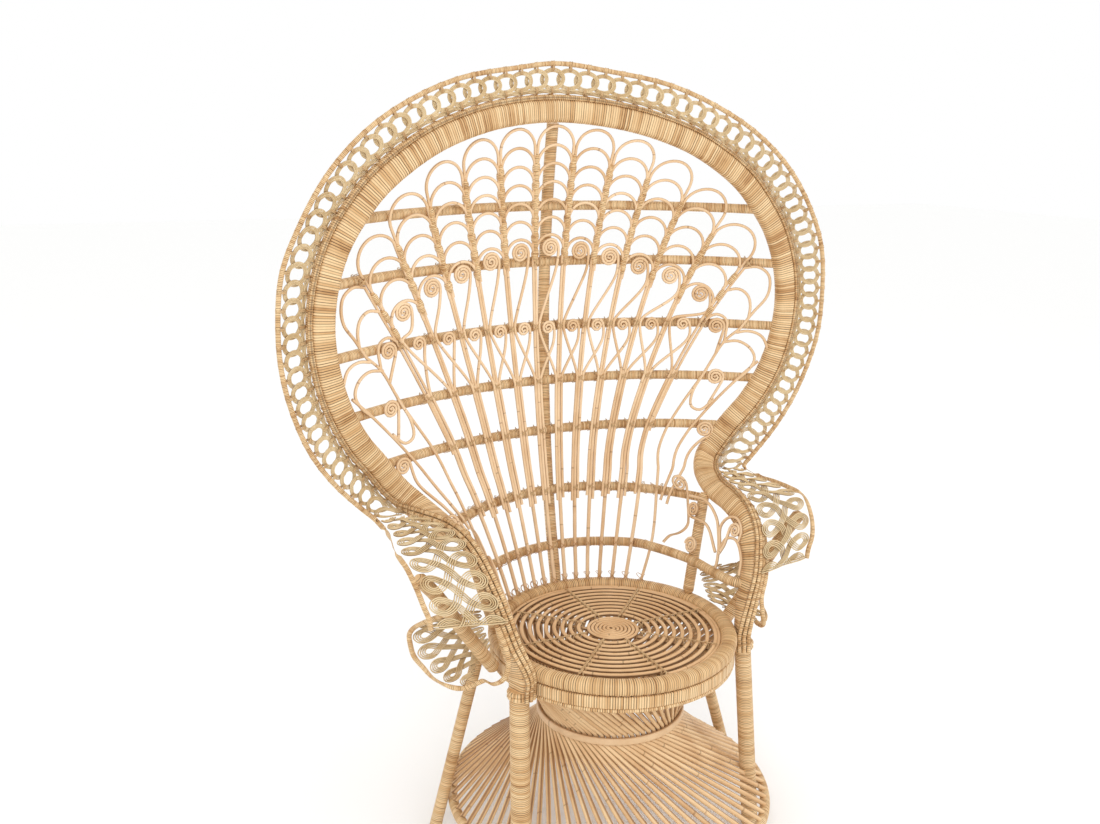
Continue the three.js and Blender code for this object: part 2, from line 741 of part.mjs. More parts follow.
// Loops and scrolls beside the columns, from the places on the right; the scrolls keep their turn
const outerStemShares = [0.693, 0.573, 0.454, 0.344, 0.325];
const middleStemShares = [[0.84, 0.556], [0.779, 0.527], [0.696, 0.454], [0.532, 0.324]];
const lowerStemShares = [[0.913, 0.483], [0.824, 0.437], [0.642, 0.329], [0.611, 0.302]];
const sideLoopShares = [
  [[0.84, 0.693], [0.893, 0.696], [0.935, 0.68], [0.946, 0.654], [0.935, 0.626], [0.891, 0.595],
    [0.84, 0.556]],
  [[0.778, 0.642], [0.827, 0.646], [0.864, 0.632], [0.877, 0.608], [0.871, 0.578]],
  [[0.701, 0.577], [0.742, 0.589], [0.785, 0.576], [0.779, 0.527]],
  [[0.826, 0.547], [0.875, 0.551], [0.92, 0.542], [0.933, 0.515]],
  [[0.77, 0.525], [0.835, 0.528], [0.884, 0.511], [0.9, 0.488], [0.877, 0.463], [0.824, 0.437]],
  [[0.74, 0.395], [0.682, 0.37], [0.645, 0.379], [0.649, 0.409], [0.71, 0.465]],
];
const sideScrollShares = [
  [0.744, 0.562, 0.744, 0.5],
  [0.744, 0.446, 0.716, 0.385],
  [0.695, 0.321, 0.65, 0.288],
];
const onSide = (shares, side) => shares.map(([x, z]) => [x * side * fanReach, z * fanHeight]);

for (const [name, side] of sides) {
  const besideColumns = outerStemShares.map((share) => {
    const z = share * fanHeight;
    return [legX(side * 6, -side, z) + side * loopSeam, z];
  });
  const stems = [middleStemShares, lowerStemShares, ...sideLoopShares].map((shares) => onSide(shares, side));
  const scrolls = sideScrollShares.map((shares) => {
    const [[x, z], [tailX, tailZ]] = onSide([shares.slice(0, 2), shares.slice(2)], side);
    const places = scroll(x, z, largeScroll, 1.5, tailX < x - largeScroll * half ? 1 / 4 : 0);
    return wound("loop scrolls", [...places, [tailX, tailZ]], fanCane);
  });
  const parts = [besideColumns, ...stems, ...scrolls].map((places, i) =>
    onFan(places, thinCane(i < 3 ? fanCane : fanCane * archShare), 0),
  );
  add(`side_loops_${name}`, cut(joined(parts), [hoopCutter]), cane);
}

// Side posts and the scrolls between rail and arm
const postShares = [0.896, 0.281, 1.113, 0.421];
function sidePole(side, grow) {
  const [footX, footY, topX, topY] = postShares.map((share) => share * seatRadius);
  const foot = v(side * footX, footY, rollTop + seam);
  const top = v(side * topX, topY, armHeight);
  return levelPole(top, foot, flatSided(sidePost + grow, sidePost + grow, 6));
}

for (const [name, side] of sides) {
  add(`side_post_${name}`, cut(sidePole(side, 0), [hoopCutter, armRail(2 * seam)]), wrapped);
}

// Scrolls and arches under the arm, in the plane between rail and arm
const panelLeanShare = 0.3;
const panelTurnShare = 0.16;
const panelArchShares = [
  [[0.493, 0.935], [0.29, 0.945], [0.122, 0.84], [0.036, 0.685], [-0.014, 0.56]],
  [[-0.014, 0.6], [0.05, 0.78], [0, 0.88], [-0.1, 0.905], [-0.18, 0.82], [-0.18, 0.72]],
  [[-0.014, 0.56], [-0.045, 0.7], [-0.15, 0.725], [-0.26, 0.6], [-0.294, 0.45]],
  [[0, 0.6], [-0.025, 0.475], [-0.027, 0.425]],
];
const panelScrollShares = [
  [0.46, 0.83, 0.25, 0.2, 0.745, 0.02, 0.55],
  [-0.115, 0.8, 0, -0.05, 0.64, -0.02, 0.55],
];
function panelPlace([y, z]) {
  return v(panelX - panelTurnShare * y + panelLeanShare * (z - railHeight), y, z);
}
const panelNormal = v(1, panelTurnShare, -panelLeanShare).normalize();

for (const [name, side] of sides) {
  const toPlace = ([y, z]) => [y * seatRadius, z * armHeight];
  const rolled = panelScrollShares.map(([y, z, late, ...tail]) => {
    const places = scroll(y * seatRadius, z * armHeight, panelScroll, 1.25, late);
    return wound("side scrolls", [...places, ...[tail.slice(0, 2), tail.slice(2)].map(toPlace)], fanCane);
  });
  const parts = [...panelArchShares.map((shares) => shares.map(toPlace)), ...rolled].map((places) =>
    laid(places.map(panelPlace), places.map(() => panelNormal), thinCane(fanCane)),
  );
  const panel = cut(joined(parts), [hoopCutter, armRail(2 * seam), sidePole(1, 2 * seam)]);
  add(`side_scrolls_${name}`, side > 0 ? panel : mirrorOf(panel), cane);
}

// A scroll on the lowest cross rod beside each waist, its tail down to the rail, and one on the rail
const waistScrollShares = [[0.524, 0.218], [0.46, 0.17], [0.335, 0.103]];
const railScrollShares = [0.385, 0.5];
for (const [name, side] of sides) {
  const [middle, ...tail] = onSide(waistScrollShares, side);
  const turned = (side > 0 ? scroll : mirroredScroll)(...middle, largeScroll, 1.5, 1 / 8);
  const places = wound("waist scrolls", [...turned, ...tail], fanCane);
  const lowestRod = crossRod(rodHeights[rodHeights.length - 1], 2 * seam);
  const kept = cut(onFan(places, thinCane(fanCane), 0), [hoopCutter, lowestRod, armRail(2 * seam)]);
  add(`waist_scroll_${name}`, kept, cane);
}
for (const [name, side] of sides) {
  const turned = scroll(railScrollShares[0] * seatRadius, railScrollShares[1] * armHeight, panelScroll, 1.5);
  const places = wound("rail scrolls", turned, fanCane);
  const points = places.map((place) => panelPlace(place).addScaledVector(panelNormal, railScrollOut));
  const rolled = laid(points, places.map(() => panelNormal), thinCane(fanCane));
  const kept = cut(rolled, [armRail(2 * seam), sidePole(1, 2 * seam)]);
  add(`rail_scroll_${name}`, side > 0 ? kept : mirrorOf(kept), cane);
}

// Wing struts
const strutShares = [
  [0.962, -0.166, 0.912],
  [0.886, -0.154, 0.75],
  [0.799, -0.127, 0.5],
  [0.715, -0.1, 0.25],
  [0.628, -0.075, 0],
  [0.575, -0.062, -0.14],
];
const strutLine = strutShares.map(([x, y, z]) => v(x * wingReach, y * seatRadius, z * armHeight));
const strut = (grow) => indexed(swept(strutLine, flatSided(strutPole + grow, strutPole + grow, 8), 6));

// Seat
const rollMiddle = seatRadius - rollWidth * half;
function rollRing(grow) {
  const section = flatSided(rollWidth + grow, rollTop + rollBottom + grow, 8);
  return ring(rollMiddle, (rollTop - rollBottom) * half, section, 28);
}

add("seat_roll", rollRing(0), wrapped);
const skirtTop = -rollBottom - seam;
const skirtMiddle = seatRadius - skirtThickness;
const skirtSection = (grow) => flatSided(skirtThickness + grow, skirtHeight + grow, 4);
const skirtRing = (grow) => ring(skirtMiddle, skirtTop - skirtHeight * half, skirtSection(grow), 28);
add("seat_skirt", skirtRing(0), wrapped);
const trimHeight = skirtTop - skirtHeight - seam - trimDiameter * half;
add("seat_trim", ring(skirtMiddle, trimHeight, flatSided(trimDiameter, trimDiameter, 4), 28), cane);

const besideStrut = [laidRim(wholeRim, rimCane + 2 * seam), wingSheet(2 * seam), rollRing(2 * seam)];
const keptStrut = cut(strut(0), [hoopCutter, ...besideStrut, skirtRing(2 * seam)]);
add("wing_strut_right", keptStrut, wrapped);
add("wing_strut_left", mirrorOf(keptStrut), wrapped);

// Lobe of lace under each wing, inside a rim of its own
const lobeRimShares = [
  [0.87, -0.09, 0.495],
  [0.948, 0.054, 0.38],
  [0.986, 0.163, 0.28],
  [0.997, 0.208, 0.2],
  [0.995, 0.2, 0.13],
  [0.978, 0.199, 0.005],
  [0.95, 0.131, -0.07],
  [0.923, 0.023, -0.125],
  [0.876, -0.118, -0.145],
  [0.821, -0.158, -0.16],
  [0.745, -0.27, -0.06],
];
const lobeInnerShares = [
  [0.61, 0.33, 0.3],
  [0.615, 0.25, 0.15],
  [0.61, 0.14, 0.05],
  [0.603, 0.063, 0.01],
];
const lobePoints = (shares) => shares.map(([x, y, z]) => v(x * lobeReach, y * seatRadius, z * armHeight));
const lobeLine = new THREE.CatmullRomCurve3(lobePoints(lobeRimShares), false, "centripetal");
const lobeSpan = new THREE.CatmullRomCurve3(lobePoints(lobeInnerShares), false, "centripetal");
const lobeRim = laidRim(rimPlaces(lobeLine, lobeSpan, 14), lobeCane);
const lobeStrip = strip(lobeSpan, besideRim(lobeLine, lobeSpan, lobeCane * half + laceSeam));
const lobePlace = (along, share, off) =>
  lobeStrip(lobeStartShare + (lobeEndShare - lobeStartShare) * along, share, off);
const lobeSheet = laceSheet(lobePlace, lobeCount, lobePitch, lobeWidth, lobeStrand, laceThickness);
const lobeLace = cut(lobeSheet, [rollRing(2 * seam), sidePole(1, 2 * seam), strut(2 * seam)]);
const lobeTrim = cut(lobeRim, [strut(2 * seam)]);
add("lobe_rim_right", lobeTrim, wrapped);
add("lobe_rim_left", mirrorOf(lobeTrim), wrapped);
add("lobe_lace_right", lobeLace, peel);
add("lobe_lace_left", mirrorOf(lobeLace), peel);

// Woven seat: one long cane laid round and round on the spokes, and a tight coil in the middle
const spokeReach = rollMiddle - rollWidth * half - 6 * seam;
const spokes = Array.from({ length: spokeCount / 2 }, (_, i) =>
  new THREE.BoxGeometry(2 * spokeReach, spokeCane, spokeCane).rotateZ((i * fullTurn) / spokeCount),
);
const spokeTop = -webCane * half - seam;
add("seat_spokes", joined(spokes).translate(0, 0, spokeTop - spokeCane * half), cane);

// Round the middle of the seat from the outside in
function seatSpiral(outer, pitch, turns, steps, height) {
  return Array.from({ length: Math.round(turns * steps) + 1 }, (_, i) =>
    around(outer - (i / steps) * pitch, (i / steps) * 360, height),
  );
}

const facingDown = (points) => points.map(() => v(0, 0, -1));
const flatPlaces = (points) => points.map((p) => [p.x, p.y]);
const web = seatSpiral(webOuterRadius, webPitch, webTurns, 14, 0);
const coil = seatSpiral(coilRadius - coilCane * half, coilPitch, coilTurns, 12, (coilCane - webCane) * half);
wound("seat web", flatPlaces(web), webCane);
wound("seat coil", flatPlaces(coil), coilCane);
add("seat_web", laid(web, facingDown(web), thinCane(webCane)), cane);
add("seat_coil", laid(coil, facingDown(coil), thinCane(coilCane)), cane);

// Hourglass of twisted canes
const stickTop = skirtTop;
const stickBottom = -baseDrop + baseCane * half + seam;
const stickTopRadius = skirtMiddle - (skirtThickness + stickThickness) * half - 7 * seam;

// All the sticks in one: side by side in a band at the waist and free above and below it
function hourglass() {
  const cell = 360 / stickCount;
  const stations = [
    [stickTopRadius, 0, stickTop, (stickWidth / stickTopRadius / fullTurn) * 360],
    [waistRadius, upperTwist, -waistDrop + waistHeight * half, cell],
    [waistRadius, upperTwist, -waistDrop - waistHeight * half, cell],
    [baseRadius, upperTwist + lowerTwist, stickBottom, (stickWidth / baseRadius / fullTurn) * 360],
  ];
  const positions = [];
  const faces = [];
  const quad = (a, b, c, d) => faces.push(a, b, c, a, c, d);
  for (let i = 0; i < stickCount; i++) {
    const first = positions.length / 3;
    for (const [radius, twist, height, spread] of stations) {
      for (const [depth, side] of [[half, -half], [half, half], [-half, half], [-half, -half]]) {
        const azimuth = i * cell + twist + side * spread;
        positions.push(...around(radius + depth * stickThickness, azimuth, height).toArray());
      }
    }
    for (let level = 0; level < 3; level++) {
      const at = first + level * 4;
      quad(at, at + 1, at + 5, at + 4);
      quad(at + 2, at + 3, at + 7, at + 6);
      if (level === 1) continue;
      quad(at + 1, at + 2, at + 6, at + 5);
      quad(at + 3, at, at + 4, at + 7);
    }
    quad(first, first + 3, first + 2, first + 1);
    quad(first + 12, first + 13, first + 14, first + 15);
  }
  const sheet = new THREE.BufferGeometry();
  sheet.setAttribute("position", new THREE.Float32BufferAttribute(positions, 3));
  sheet.setIndex(faces);
  const welded = mergeVertices(sheet, weldReach);
  return facingOut([...welded.attributes.position.array], [...welded.index.array]);
}

const legPlaces = [
  ["front_leg", frontLeg, frontLegAzimuth, frontLegRadius, frontFootAzimuth, frontFootRadius, 8],
  ["rear_leg", rearLeg, rearLegAzimuth, rearLegRadius, rearFootAzimuth, rearFootRadius, 8],
];
const legCutters = [];
for (const [name, diameter, azimuth, radius, footAzimuth, footRadius, corners] of legPlaces) {
  for (const [sideName, side] of sides) {
    const top = around(radius, side * azimuth, -legTopDrop);
    const foot = around(footRadius, side * footAzimuth, -seatHeight);
    add(`${name}_${sideName}`, levelPole(top, foot, flatSided(diameter, diameter, corners)), wrapped);
    legCutters.push(levelPole(top, foot, flatSided(diameter + 2 * seam, diameter + 2 * seam, corners)));
  }
}

add("hourglass_sticks", cut(hourglass(), legCutters), cane);
const bandMiddle = waistRadius + (stickThickness + waistThickness) * half + 5 * seam;
add("waist_ring", ring(bandMiddle, -waistDrop, flatSided(waistThickness, waistHeight - seam, 4), 24), cane);
const baseRing = ring(baseRadius, -baseDrop, flatSided(baseCane, baseCane, 6), 28);
add("base_ring", cut(baseRing, legCutters), wrapped);

// Rope collars round the tops of the front legs, open towards the seat
for (const [name, side] of sides) {
  const heart = around(frontLegRadius, side * frontLegAzimuth, -legTopDrop - seam - collarHeight * half);
  const reach = (frontLeg + collarCane) * half + 10 * seam;
  const turns = spaced(-collarSweep * half, collarSweep * half, 10).concat(collarSweep * half);
  const places = turns.map((angle) => heart.clone().add(around(reach, side * frontLegAzimuth + angle, 0)));
  const normals = places.map((p) => heart.clone().sub(p).normalize());
  add(`leg_collar_${name}`, laid(places, normals, flatSided(collarHeight, collarCane, 4)), wrapped);
}

for (const [kind, gap] of Object.entries(leastGaps)) {
  console.log(`least gap in ${kind}: ${gap.toFixed(2)} mm`);
}

// The origin lies on the floor under the middle of the whole chair.
const bounds = new THREE.Box3().setFromObject(chair);
chair.position.y = -(bounds.min.y + bounds.max.y) * half;

export default chair;
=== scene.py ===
import math
import bpy
import numpy as np
from mathutils import Matrix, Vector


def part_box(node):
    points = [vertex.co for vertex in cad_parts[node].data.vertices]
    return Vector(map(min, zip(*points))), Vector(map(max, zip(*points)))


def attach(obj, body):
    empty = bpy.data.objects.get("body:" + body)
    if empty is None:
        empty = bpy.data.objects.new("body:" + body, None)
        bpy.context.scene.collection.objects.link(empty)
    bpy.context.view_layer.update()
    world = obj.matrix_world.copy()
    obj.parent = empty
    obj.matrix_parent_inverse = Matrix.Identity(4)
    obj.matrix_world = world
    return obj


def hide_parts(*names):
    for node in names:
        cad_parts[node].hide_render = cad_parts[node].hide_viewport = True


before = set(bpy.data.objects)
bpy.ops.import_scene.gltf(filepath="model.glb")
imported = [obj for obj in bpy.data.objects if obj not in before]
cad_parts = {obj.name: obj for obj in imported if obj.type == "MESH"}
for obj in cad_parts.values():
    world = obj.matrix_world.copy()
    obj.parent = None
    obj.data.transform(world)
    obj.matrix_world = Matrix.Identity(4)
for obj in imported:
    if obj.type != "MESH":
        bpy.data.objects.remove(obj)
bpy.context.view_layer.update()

print("frame loaded:", len(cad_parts), "nodes")

# Lengths are in millimetres about the middle of the seat's top, z up, until placed() puts them in the frame
seatTopDrop = 0.010
rollLow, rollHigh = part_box("seat_roll")
seatMiddle = np.array([0.0, (rollLow.y + rollHigh.y) / 2, rollHigh.z - seatTopDrop])


def placed(points):
    return np.asarray(points, float) / 1000 + seatMiddle


camera = {
    "place": (-878.77, -1570.72, 862.65),
    "right": (0.90315554, -0.42918142, 0.01064799),
    "up": (0.09789028, 0.23001944, 0.96825025),
    "lens": 35.83,
    "sensor": 36,
}
lens = bpy.data.cameras.new("photo_view")
lens.lens, lens.sensor_width = camera["lens"], camera["sensor"]
lens.dof.use_dof = False
photoView = bpy.data.objects.new("photo_view", lens)
bpy.context.scene.collection.objects.link(photoView)
backwards = tuple(np.cross(camera["right"], camera["up"]))
turned = Matrix((camera["right"], camera["up"], backwards)).transposed().to_4x4()
photoView.matrix_world = Matrix.Translation(tuple(placed(camera["place"]))) @ turned
bpy.context.scene.camera = photoView
print("camera placed")


# Node trees: a socket's value with Python's operators, and one method that adds any node
class Value:
    def __init__(self, net, socket):
        self.net = net
        self.socket = socket

    def __add__(self, other):
        return self.net.maths("ADD", self, other)

    def __sub__(self, other):
        return self.net.maths("SUBTRACT", self, other)

    def __rsub__(self, other):
        return self.net.maths("SUBTRACT", other, self)

    def __mul__(self, other):
        return self.net.maths("MULTIPLY", self, other)

    def __truediv__(self, other):
        return self.net.maths("DIVIDE", self, other)

    def __mod__(self, other):
        return self.net.maths("FLOORED_MODULO", self, other)

    def __lt__(self, other):
        return self.net.maths("LESS_THAN", self, other)

    def __gt__(self, other):
        return self.net.maths("GREATER_THAN", self, other)

    __radd__ = __add__
    __rmul__ = __mul__


class Net:
    def __init__(self, tree):
        self.tree = tree

    def pick(self, sockets, key):
        if isinstance(key, int):
            return sockets[key]
        return next(s for s in sockets if s.name == key and s.enabled)

    def put(self, kind, settings=None, sockets=None):
        node = self.tree.nodes.new(kind)
        for name, setting in (settings or {}).items():
            setattr(node, name, setting)
        for key, given in (sockets or {}).items():
            socket = self.pick(node.inputs, key)
            if isinstance(given, Value):
                self.tree.links.new(given.socket, socket)
            else:
                socket.default_value = given
        return node

    def take(self, node, key=0):
        return Value(self, self.pick(node.outputs, key))

    def add(self, kind, settings=None, sockets=None, key=0):
        return self.take(self.put(kind, settings, sockets), key)

    def maths(self, operation, *values):
        return self.add("ShaderNodeMath", {"operation": operation}, dict(enumerate(values)))

    def vectors(self, operation, sockets, key=0):
        return self.add("ShaderNodeVectorMath", {"operation": operation}, sockets, key)


# Smooth lines
class Line:
    def __init__(self, points):
        self.points = np.asarray(points, float)
        p = self.points
        self.padded = np.vstack([2 * p[0] - p[1], p, 2 * p[-1] - p[-2]])
        self.steps = np.linspace(0, 1, 1601)
        gaps = np.linalg.norm(np.diff(self.at(self.steps), axis=0), axis=1)
        runs = np.concatenate([[0], np.cumsum(gaps)])
        self.length = runs[-1]
        self.runs = runs / runs[-1]

    def at(self, t):
        last = len(self.points) - 1
        spot = np.clip(np.atleast_1d(t), 0, 1) * last
        first = np.minimum(spot.astype(int), last - 1)
        w = (spot - first)[:, None]
        p0, p1, p2, p3 = (self.padded[first + i] for i in range(4))
        d0, d1, d2 = (
            np.sqrt(np.linalg.norm(b - a, axis=1))[:, None] for a, b in ((p0, p1), (p1, p2), (p2, p3))
        )
        d1 = np.where(d1 < 1e-4, 1.0, d1)
        d0 = np.where(d0 < 1e-4, d1, d0)
        d2 = np.where(d2 < 1e-4, d1, d2)
        a = ((p1 - p0) / d0 - (p2 - p0) / (d0 + d1) + (p2 - p1) / d1) * d1
        b = ((p2 - p1) / d1 - (p3 - p1) / (d1 + d2) + (p3 - p2) / d2) * d1
        return p1 + a * w + (3 * (p2 - p1) - 2 * a - b) * w**2 + (2 * (p1 - p2) + a + b) * w**3

    def along(self, share):
        return self.at(np.interp(share, self.runs, self.steps))

    def even(self, count, start=0.0, end=1.0):
        return self.along(np.linspace(start, end, count))

    def tangent(self, t):
        t = np.atleast_1d(t)
        return unit(self.at(np.minimum(t + 1e-3, 1)) - self.at(np.maximum(t - 1e-3, 0)))

    def tangentAlong(self, share):
        return self.tangent(np.interp(share, self.runs, self.steps))


def unit(vectors):
    return vectors / np.maximum(np.linalg.norm(vectors, axis=-1, keepdims=True), 1e-9)


def mirrored(points):
    return np.asarray(points, float) * [-1, 1, 1]


def around(radius, azimuth, height):
    angle = np.radians(azimuth)
    return np.stack(np.broadcast_arrays(radius * np.sin(angle), -radius * np.cos(angle), height), -1)


def strand(points, side, closed=False):
    points = np.asarray(points, float)
    return points, np.broadcast_to(np.asarray(side, float), points.shape), closed


def mirroredStrand(given):
    points, side, closed = given
    return mirrored(points), mirrored(side), closed


def closedLoop(points, count):
    return Line(np.vstack([points, points[:1]])).even(count)[:-1]


# One tree makes every cane: it sweeps a round or flat section along lines, with a groove at each winding
windSteps = 3  # places along a cane for each winding
waver = {"large": 14.0, "small": 160.0, "seedShift": 7.3, "endLength": 0.007}


def buildCaneTree():
    tree = bpy.data.node_groups.new("canes_along_lines", "GeometryNodeTree")
    tree.is_modifier = True
    kinds = {"Lines": "Geometry", "Sides": "Int", "Seed": "Int", "Finish": "Material"}
    floats = ("Width", "Depth", "Corner", "Spacing", "Groove", "Swell", "Bend", "Taper")
    for name in (*kinds, *floats):
        tree.interface.new_socket(name, in_out="INPUT", socket_type="NodeSocket" + kinds.get(name, "Float"))
    tree.interface.new_socket("Canes", in_out="OUTPUT", socket_type="NodeSocketGeometry")
    net = Net(tree)
    group = net.put("NodeGroupInput")
    size = {name: net.take(group, name) for name in (*kinds, *floats)}

    line = net.add("GeometryNodeMeshToCurve", None, {"Mesh": size["Lines"]})
    evenly = {"Curve": line, "Length": size["Spacing"]}
    curve = net.add("GeometryNodeResampleCurve", {"mode": "LENGTH"}, evenly)
    parameter = net.put("GeometryNodeSplineParameter")
    index, run = net.take(parameter, "Index"), net.take(parameter, "Length")
    total = net.add("GeometryNodeSplineLength", key="Length")
    nearEnd = net.maths("MINIMUM", net.maths("MINIMUM", run, total - run) / waver["endLength"], 1.0)
    whichCane = net.add("GeometryNodeCurveOfPoint", key="Curve Index")
    perCane = {"ID": whichCane, "Seed": size["Seed"]}
    tone = net.add("FunctionNodeRandomValue", {"data_type": "FLOAT"}, perCane, "Value")
    shift = size["Seed"] * waver["seedShift"]
    offset = net.add("ShaderNodeCombineXYZ", None, {0: shift, 1: shift, 2: shift})
    moved = net.vectors("ADD", {0: net.add("GeometryNodeInputPosition"), 1: offset})
    large = {"Vector": moved, "Scale": waver["large"], "Detail": 2.0}
    small = {"Vector": moved, "Scale": waver["small"], "Detail": 0.0}
    noise = net.add("ShaderNodeTexNoise", None, large, "Color")
    bent = net.vectors("SUBTRACT", {0: noise, 1: (0.5, 0.5, 0.5)})
    bent = net.vectors("SCALE", {0: bent, "Scale": size["Bend"]})
    uneven = net.add("ShaderNodeTexNoise", None, small)

    for name, value in (("wind", (index + 1) / windSteps), ("run", run), ("tone", tone)):
        settings = {"data_type": "FLOAT", "domain": "POINT"}
        named = {"Geometry": curve, "Name": name, "Value": value}
        curve = net.add("GeometryNodeStoreNamedAttribute", settings, named)
    curve = net.add("GeometryNodeSetPosition", None, {"Geometry": curve, "Offset": bent})
    side = net.add("GeometryNodeInputNamedAttribute", {"data_type": "FLOAT_VECTOR"}, {"Name": "side"})
    curve = net.add("GeometryNodeSetCurveNormal", {"mode": "FREE"}, {"Curve": curve, "Normal": side})

    oblong = {"Width": size["Width"], "Height": size["Depth"]}
    oblong = net.add("GeometryNodeCurvePrimitiveQuadrilateral", None, oblong)
    band = {"Curve": oblong, "Count": 3, "Radius": size["Corner"]}
    band = net.add("GeometryNodeFilletCurve", {"mode": "POLY"}, band)
    circle = net.add("GeometryNodeCurvePrimitiveCircle", None, {"Resolution": size["Sides"], "Radius": 0.5})
    oval = net.add("ShaderNodeCombineXYZ", None, {0: size["Width"], 1: size["Depth"], 2: 1.0})
    oval = net.add("GeometryNodeTransform", None, {"Geometry": circle, "Scale": oval})
    section = {"Switch": size["Corner"] > 0, "False": oval, "True": band}
    section = net.add("GeometryNodeSwitch", {"input_type": "GEOMETRY"}, section)
    groove = ((index + 1) % windSteps < 0.5) * size["Groove"]
    swell = (uneven - 0.5) * 2 * size["Swell"]
    scale = (1 - groove + swell) * (1 - size["Taper"] * (1 - nearEnd))
    sweep = {"Curve": curve, "Profile Curve": section, "Scale": scale, "Fill Caps": True}
    mesh = net.add("GeometryNodeCurveToMesh", None, sweep)
    mesh = net.add("GeometryNodeSetShadeSmooth", None, {"Geometry": mesh})
    mesh = net.add("GeometryNodeRealizeInstances", None, {"Geometry": mesh})
    mesh = net.add("GeometryNodeSetMaterial", None, {"Geometry": mesh, "Material": size["Finish"]})
    net.put("NodeGroupOutput", None, {0: mesh})
    return tree


caneTree = buildCaneTree()
socketOf = {item.name: item.identifier for item in caneTree.interface.items_tree if item.in_out == "INPUT"}


# A piece of canes: width, depth, corner, spacing, bend in mm, groove and swell as shares of the section
def canes(name, strands, sizes, finish, node=None):
    spots, edges, sides = [], [], []
    for points, side, closed in strands:
        first, count = len(spots), len(points)
        spots.extend(placed(points).tolist())
        sides.extend(side.tolist())
        edges.extend((first + i, first + i + 1) for i in range(count - 1))
        if closed:
            edges.append((first + count - 1, first))
    lines = bpy.data.meshes.new(name)
    lines.from_pydata(spots, edges, [])
    lines.attributes.new("side", "FLOAT_VECTOR", "POINT").data.foreach_set("vector", np.ravel(sides))
    piece = bpy.data.objects.new(name, lines)
    bpy.context.scene.collection.objects.link(piece)
    sweep = piece.modifiers.new("canes", "NODES")
    sweep.node_group = caneTree
    sizes = {"depth": sizes["width"], "sides": 8} | sizes
    for key in ("Width", "Depth", "Corner", "Spacing", "Bend"):
        sweep[socketOf[key]] = sizes.get(key.lower(), 0.0) / 1000
    for key in ("Groove", "Swell", "Taper"):
        sweep[socketOf[key]] = float(sizes.get(key.lower(), 0.0))
    for key in ("Sides", "Seed"):
        sweep[socketOf[key]] = sizes[key.lower()]
    material, slot = finish
    sweep[socketOf["Finish"]] = material
    graph = bpy.context.evaluated_depsgraph_get()
    evaluated = piece.evaluated_get(graph)
    swept = bpy.data.meshes.new_from_object(evaluated, preserve_all_data_layers=True, depsgraph=graph)
    piece.modifiers.clear()
    piece.data = swept
    bpy.data.meshes.remove(lines)
    swept.name = name
    places = np.empty(len(swept.vertices) * 3)
    swept.vertices.foreach_get("co", places)
    places[2::3] = np.maximum(places[2::3], 0.0)  # feet end flat on the floor
    swept.vertices.foreach_set("co", places)
    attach(piece, "root")
    if node:
        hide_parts(node)


def dress(node, kind, strands, sizes, finish):
    canes(f"{node}_{kind}", strands, sizes, finish, node)


def dressBoth(*pieces):  # those on the right, then their mirror images on the left
    for stem, kind, strands, sizes, finish in pieces:
        dress(f"{stem}_right", kind, strands, sizes, finish)
    for stem, kind, strands, sizes, finish in pieces:
        sizes = sizes | {"seed": sizes.get("leftSeed", sizes["seed"])}
        dress(f"{stem}_left", kind, [mirroredStrand(given) for given in strands], sizes, finish)


# Finishes: each is a material paired with the name of the slot that it is meant for
pattern = {"blotch": 22.0, "grain": (700, 700, 90), "hues": 97}
pattern |= {"ior": 1.45, "gloss": 0.35, "bump": 0.35, "relief": 0.0006}


def linear(colour):
    shares = (c / 255 for c in colour)
    return tuple(c / 12.92 if c <= 0.04045 else ((c + 0.055) / 1.055) ** 2.4 for c in shares) + (1.0,)


def mix(net, share, first, second):
    settings = {"data_type": "RGBA", "blend_type": "MIX"}
    return net.add("ShaderNodeMix", settings, {0: share, 6: first, 7: second}, 2)


def ramp(net, value, low, high):
    settings = {"interpolation_type": "SMOOTHSTEP"}
    return net.add("ShaderNodeMapRange", settings, {0: value, 1: low, 2: high, 3: 0.0, 4: 1.0})


def attribute(net, name, key="Fac"):
    return net.add("ShaderNodeAttribute", {"attribute_name": name}, None, key)


def whiteNoise(net, place):
    return net.add("ShaderNodeTexWhiteNoise", {"noise_dimensions": "1D"}, {"W": place}, "Value")


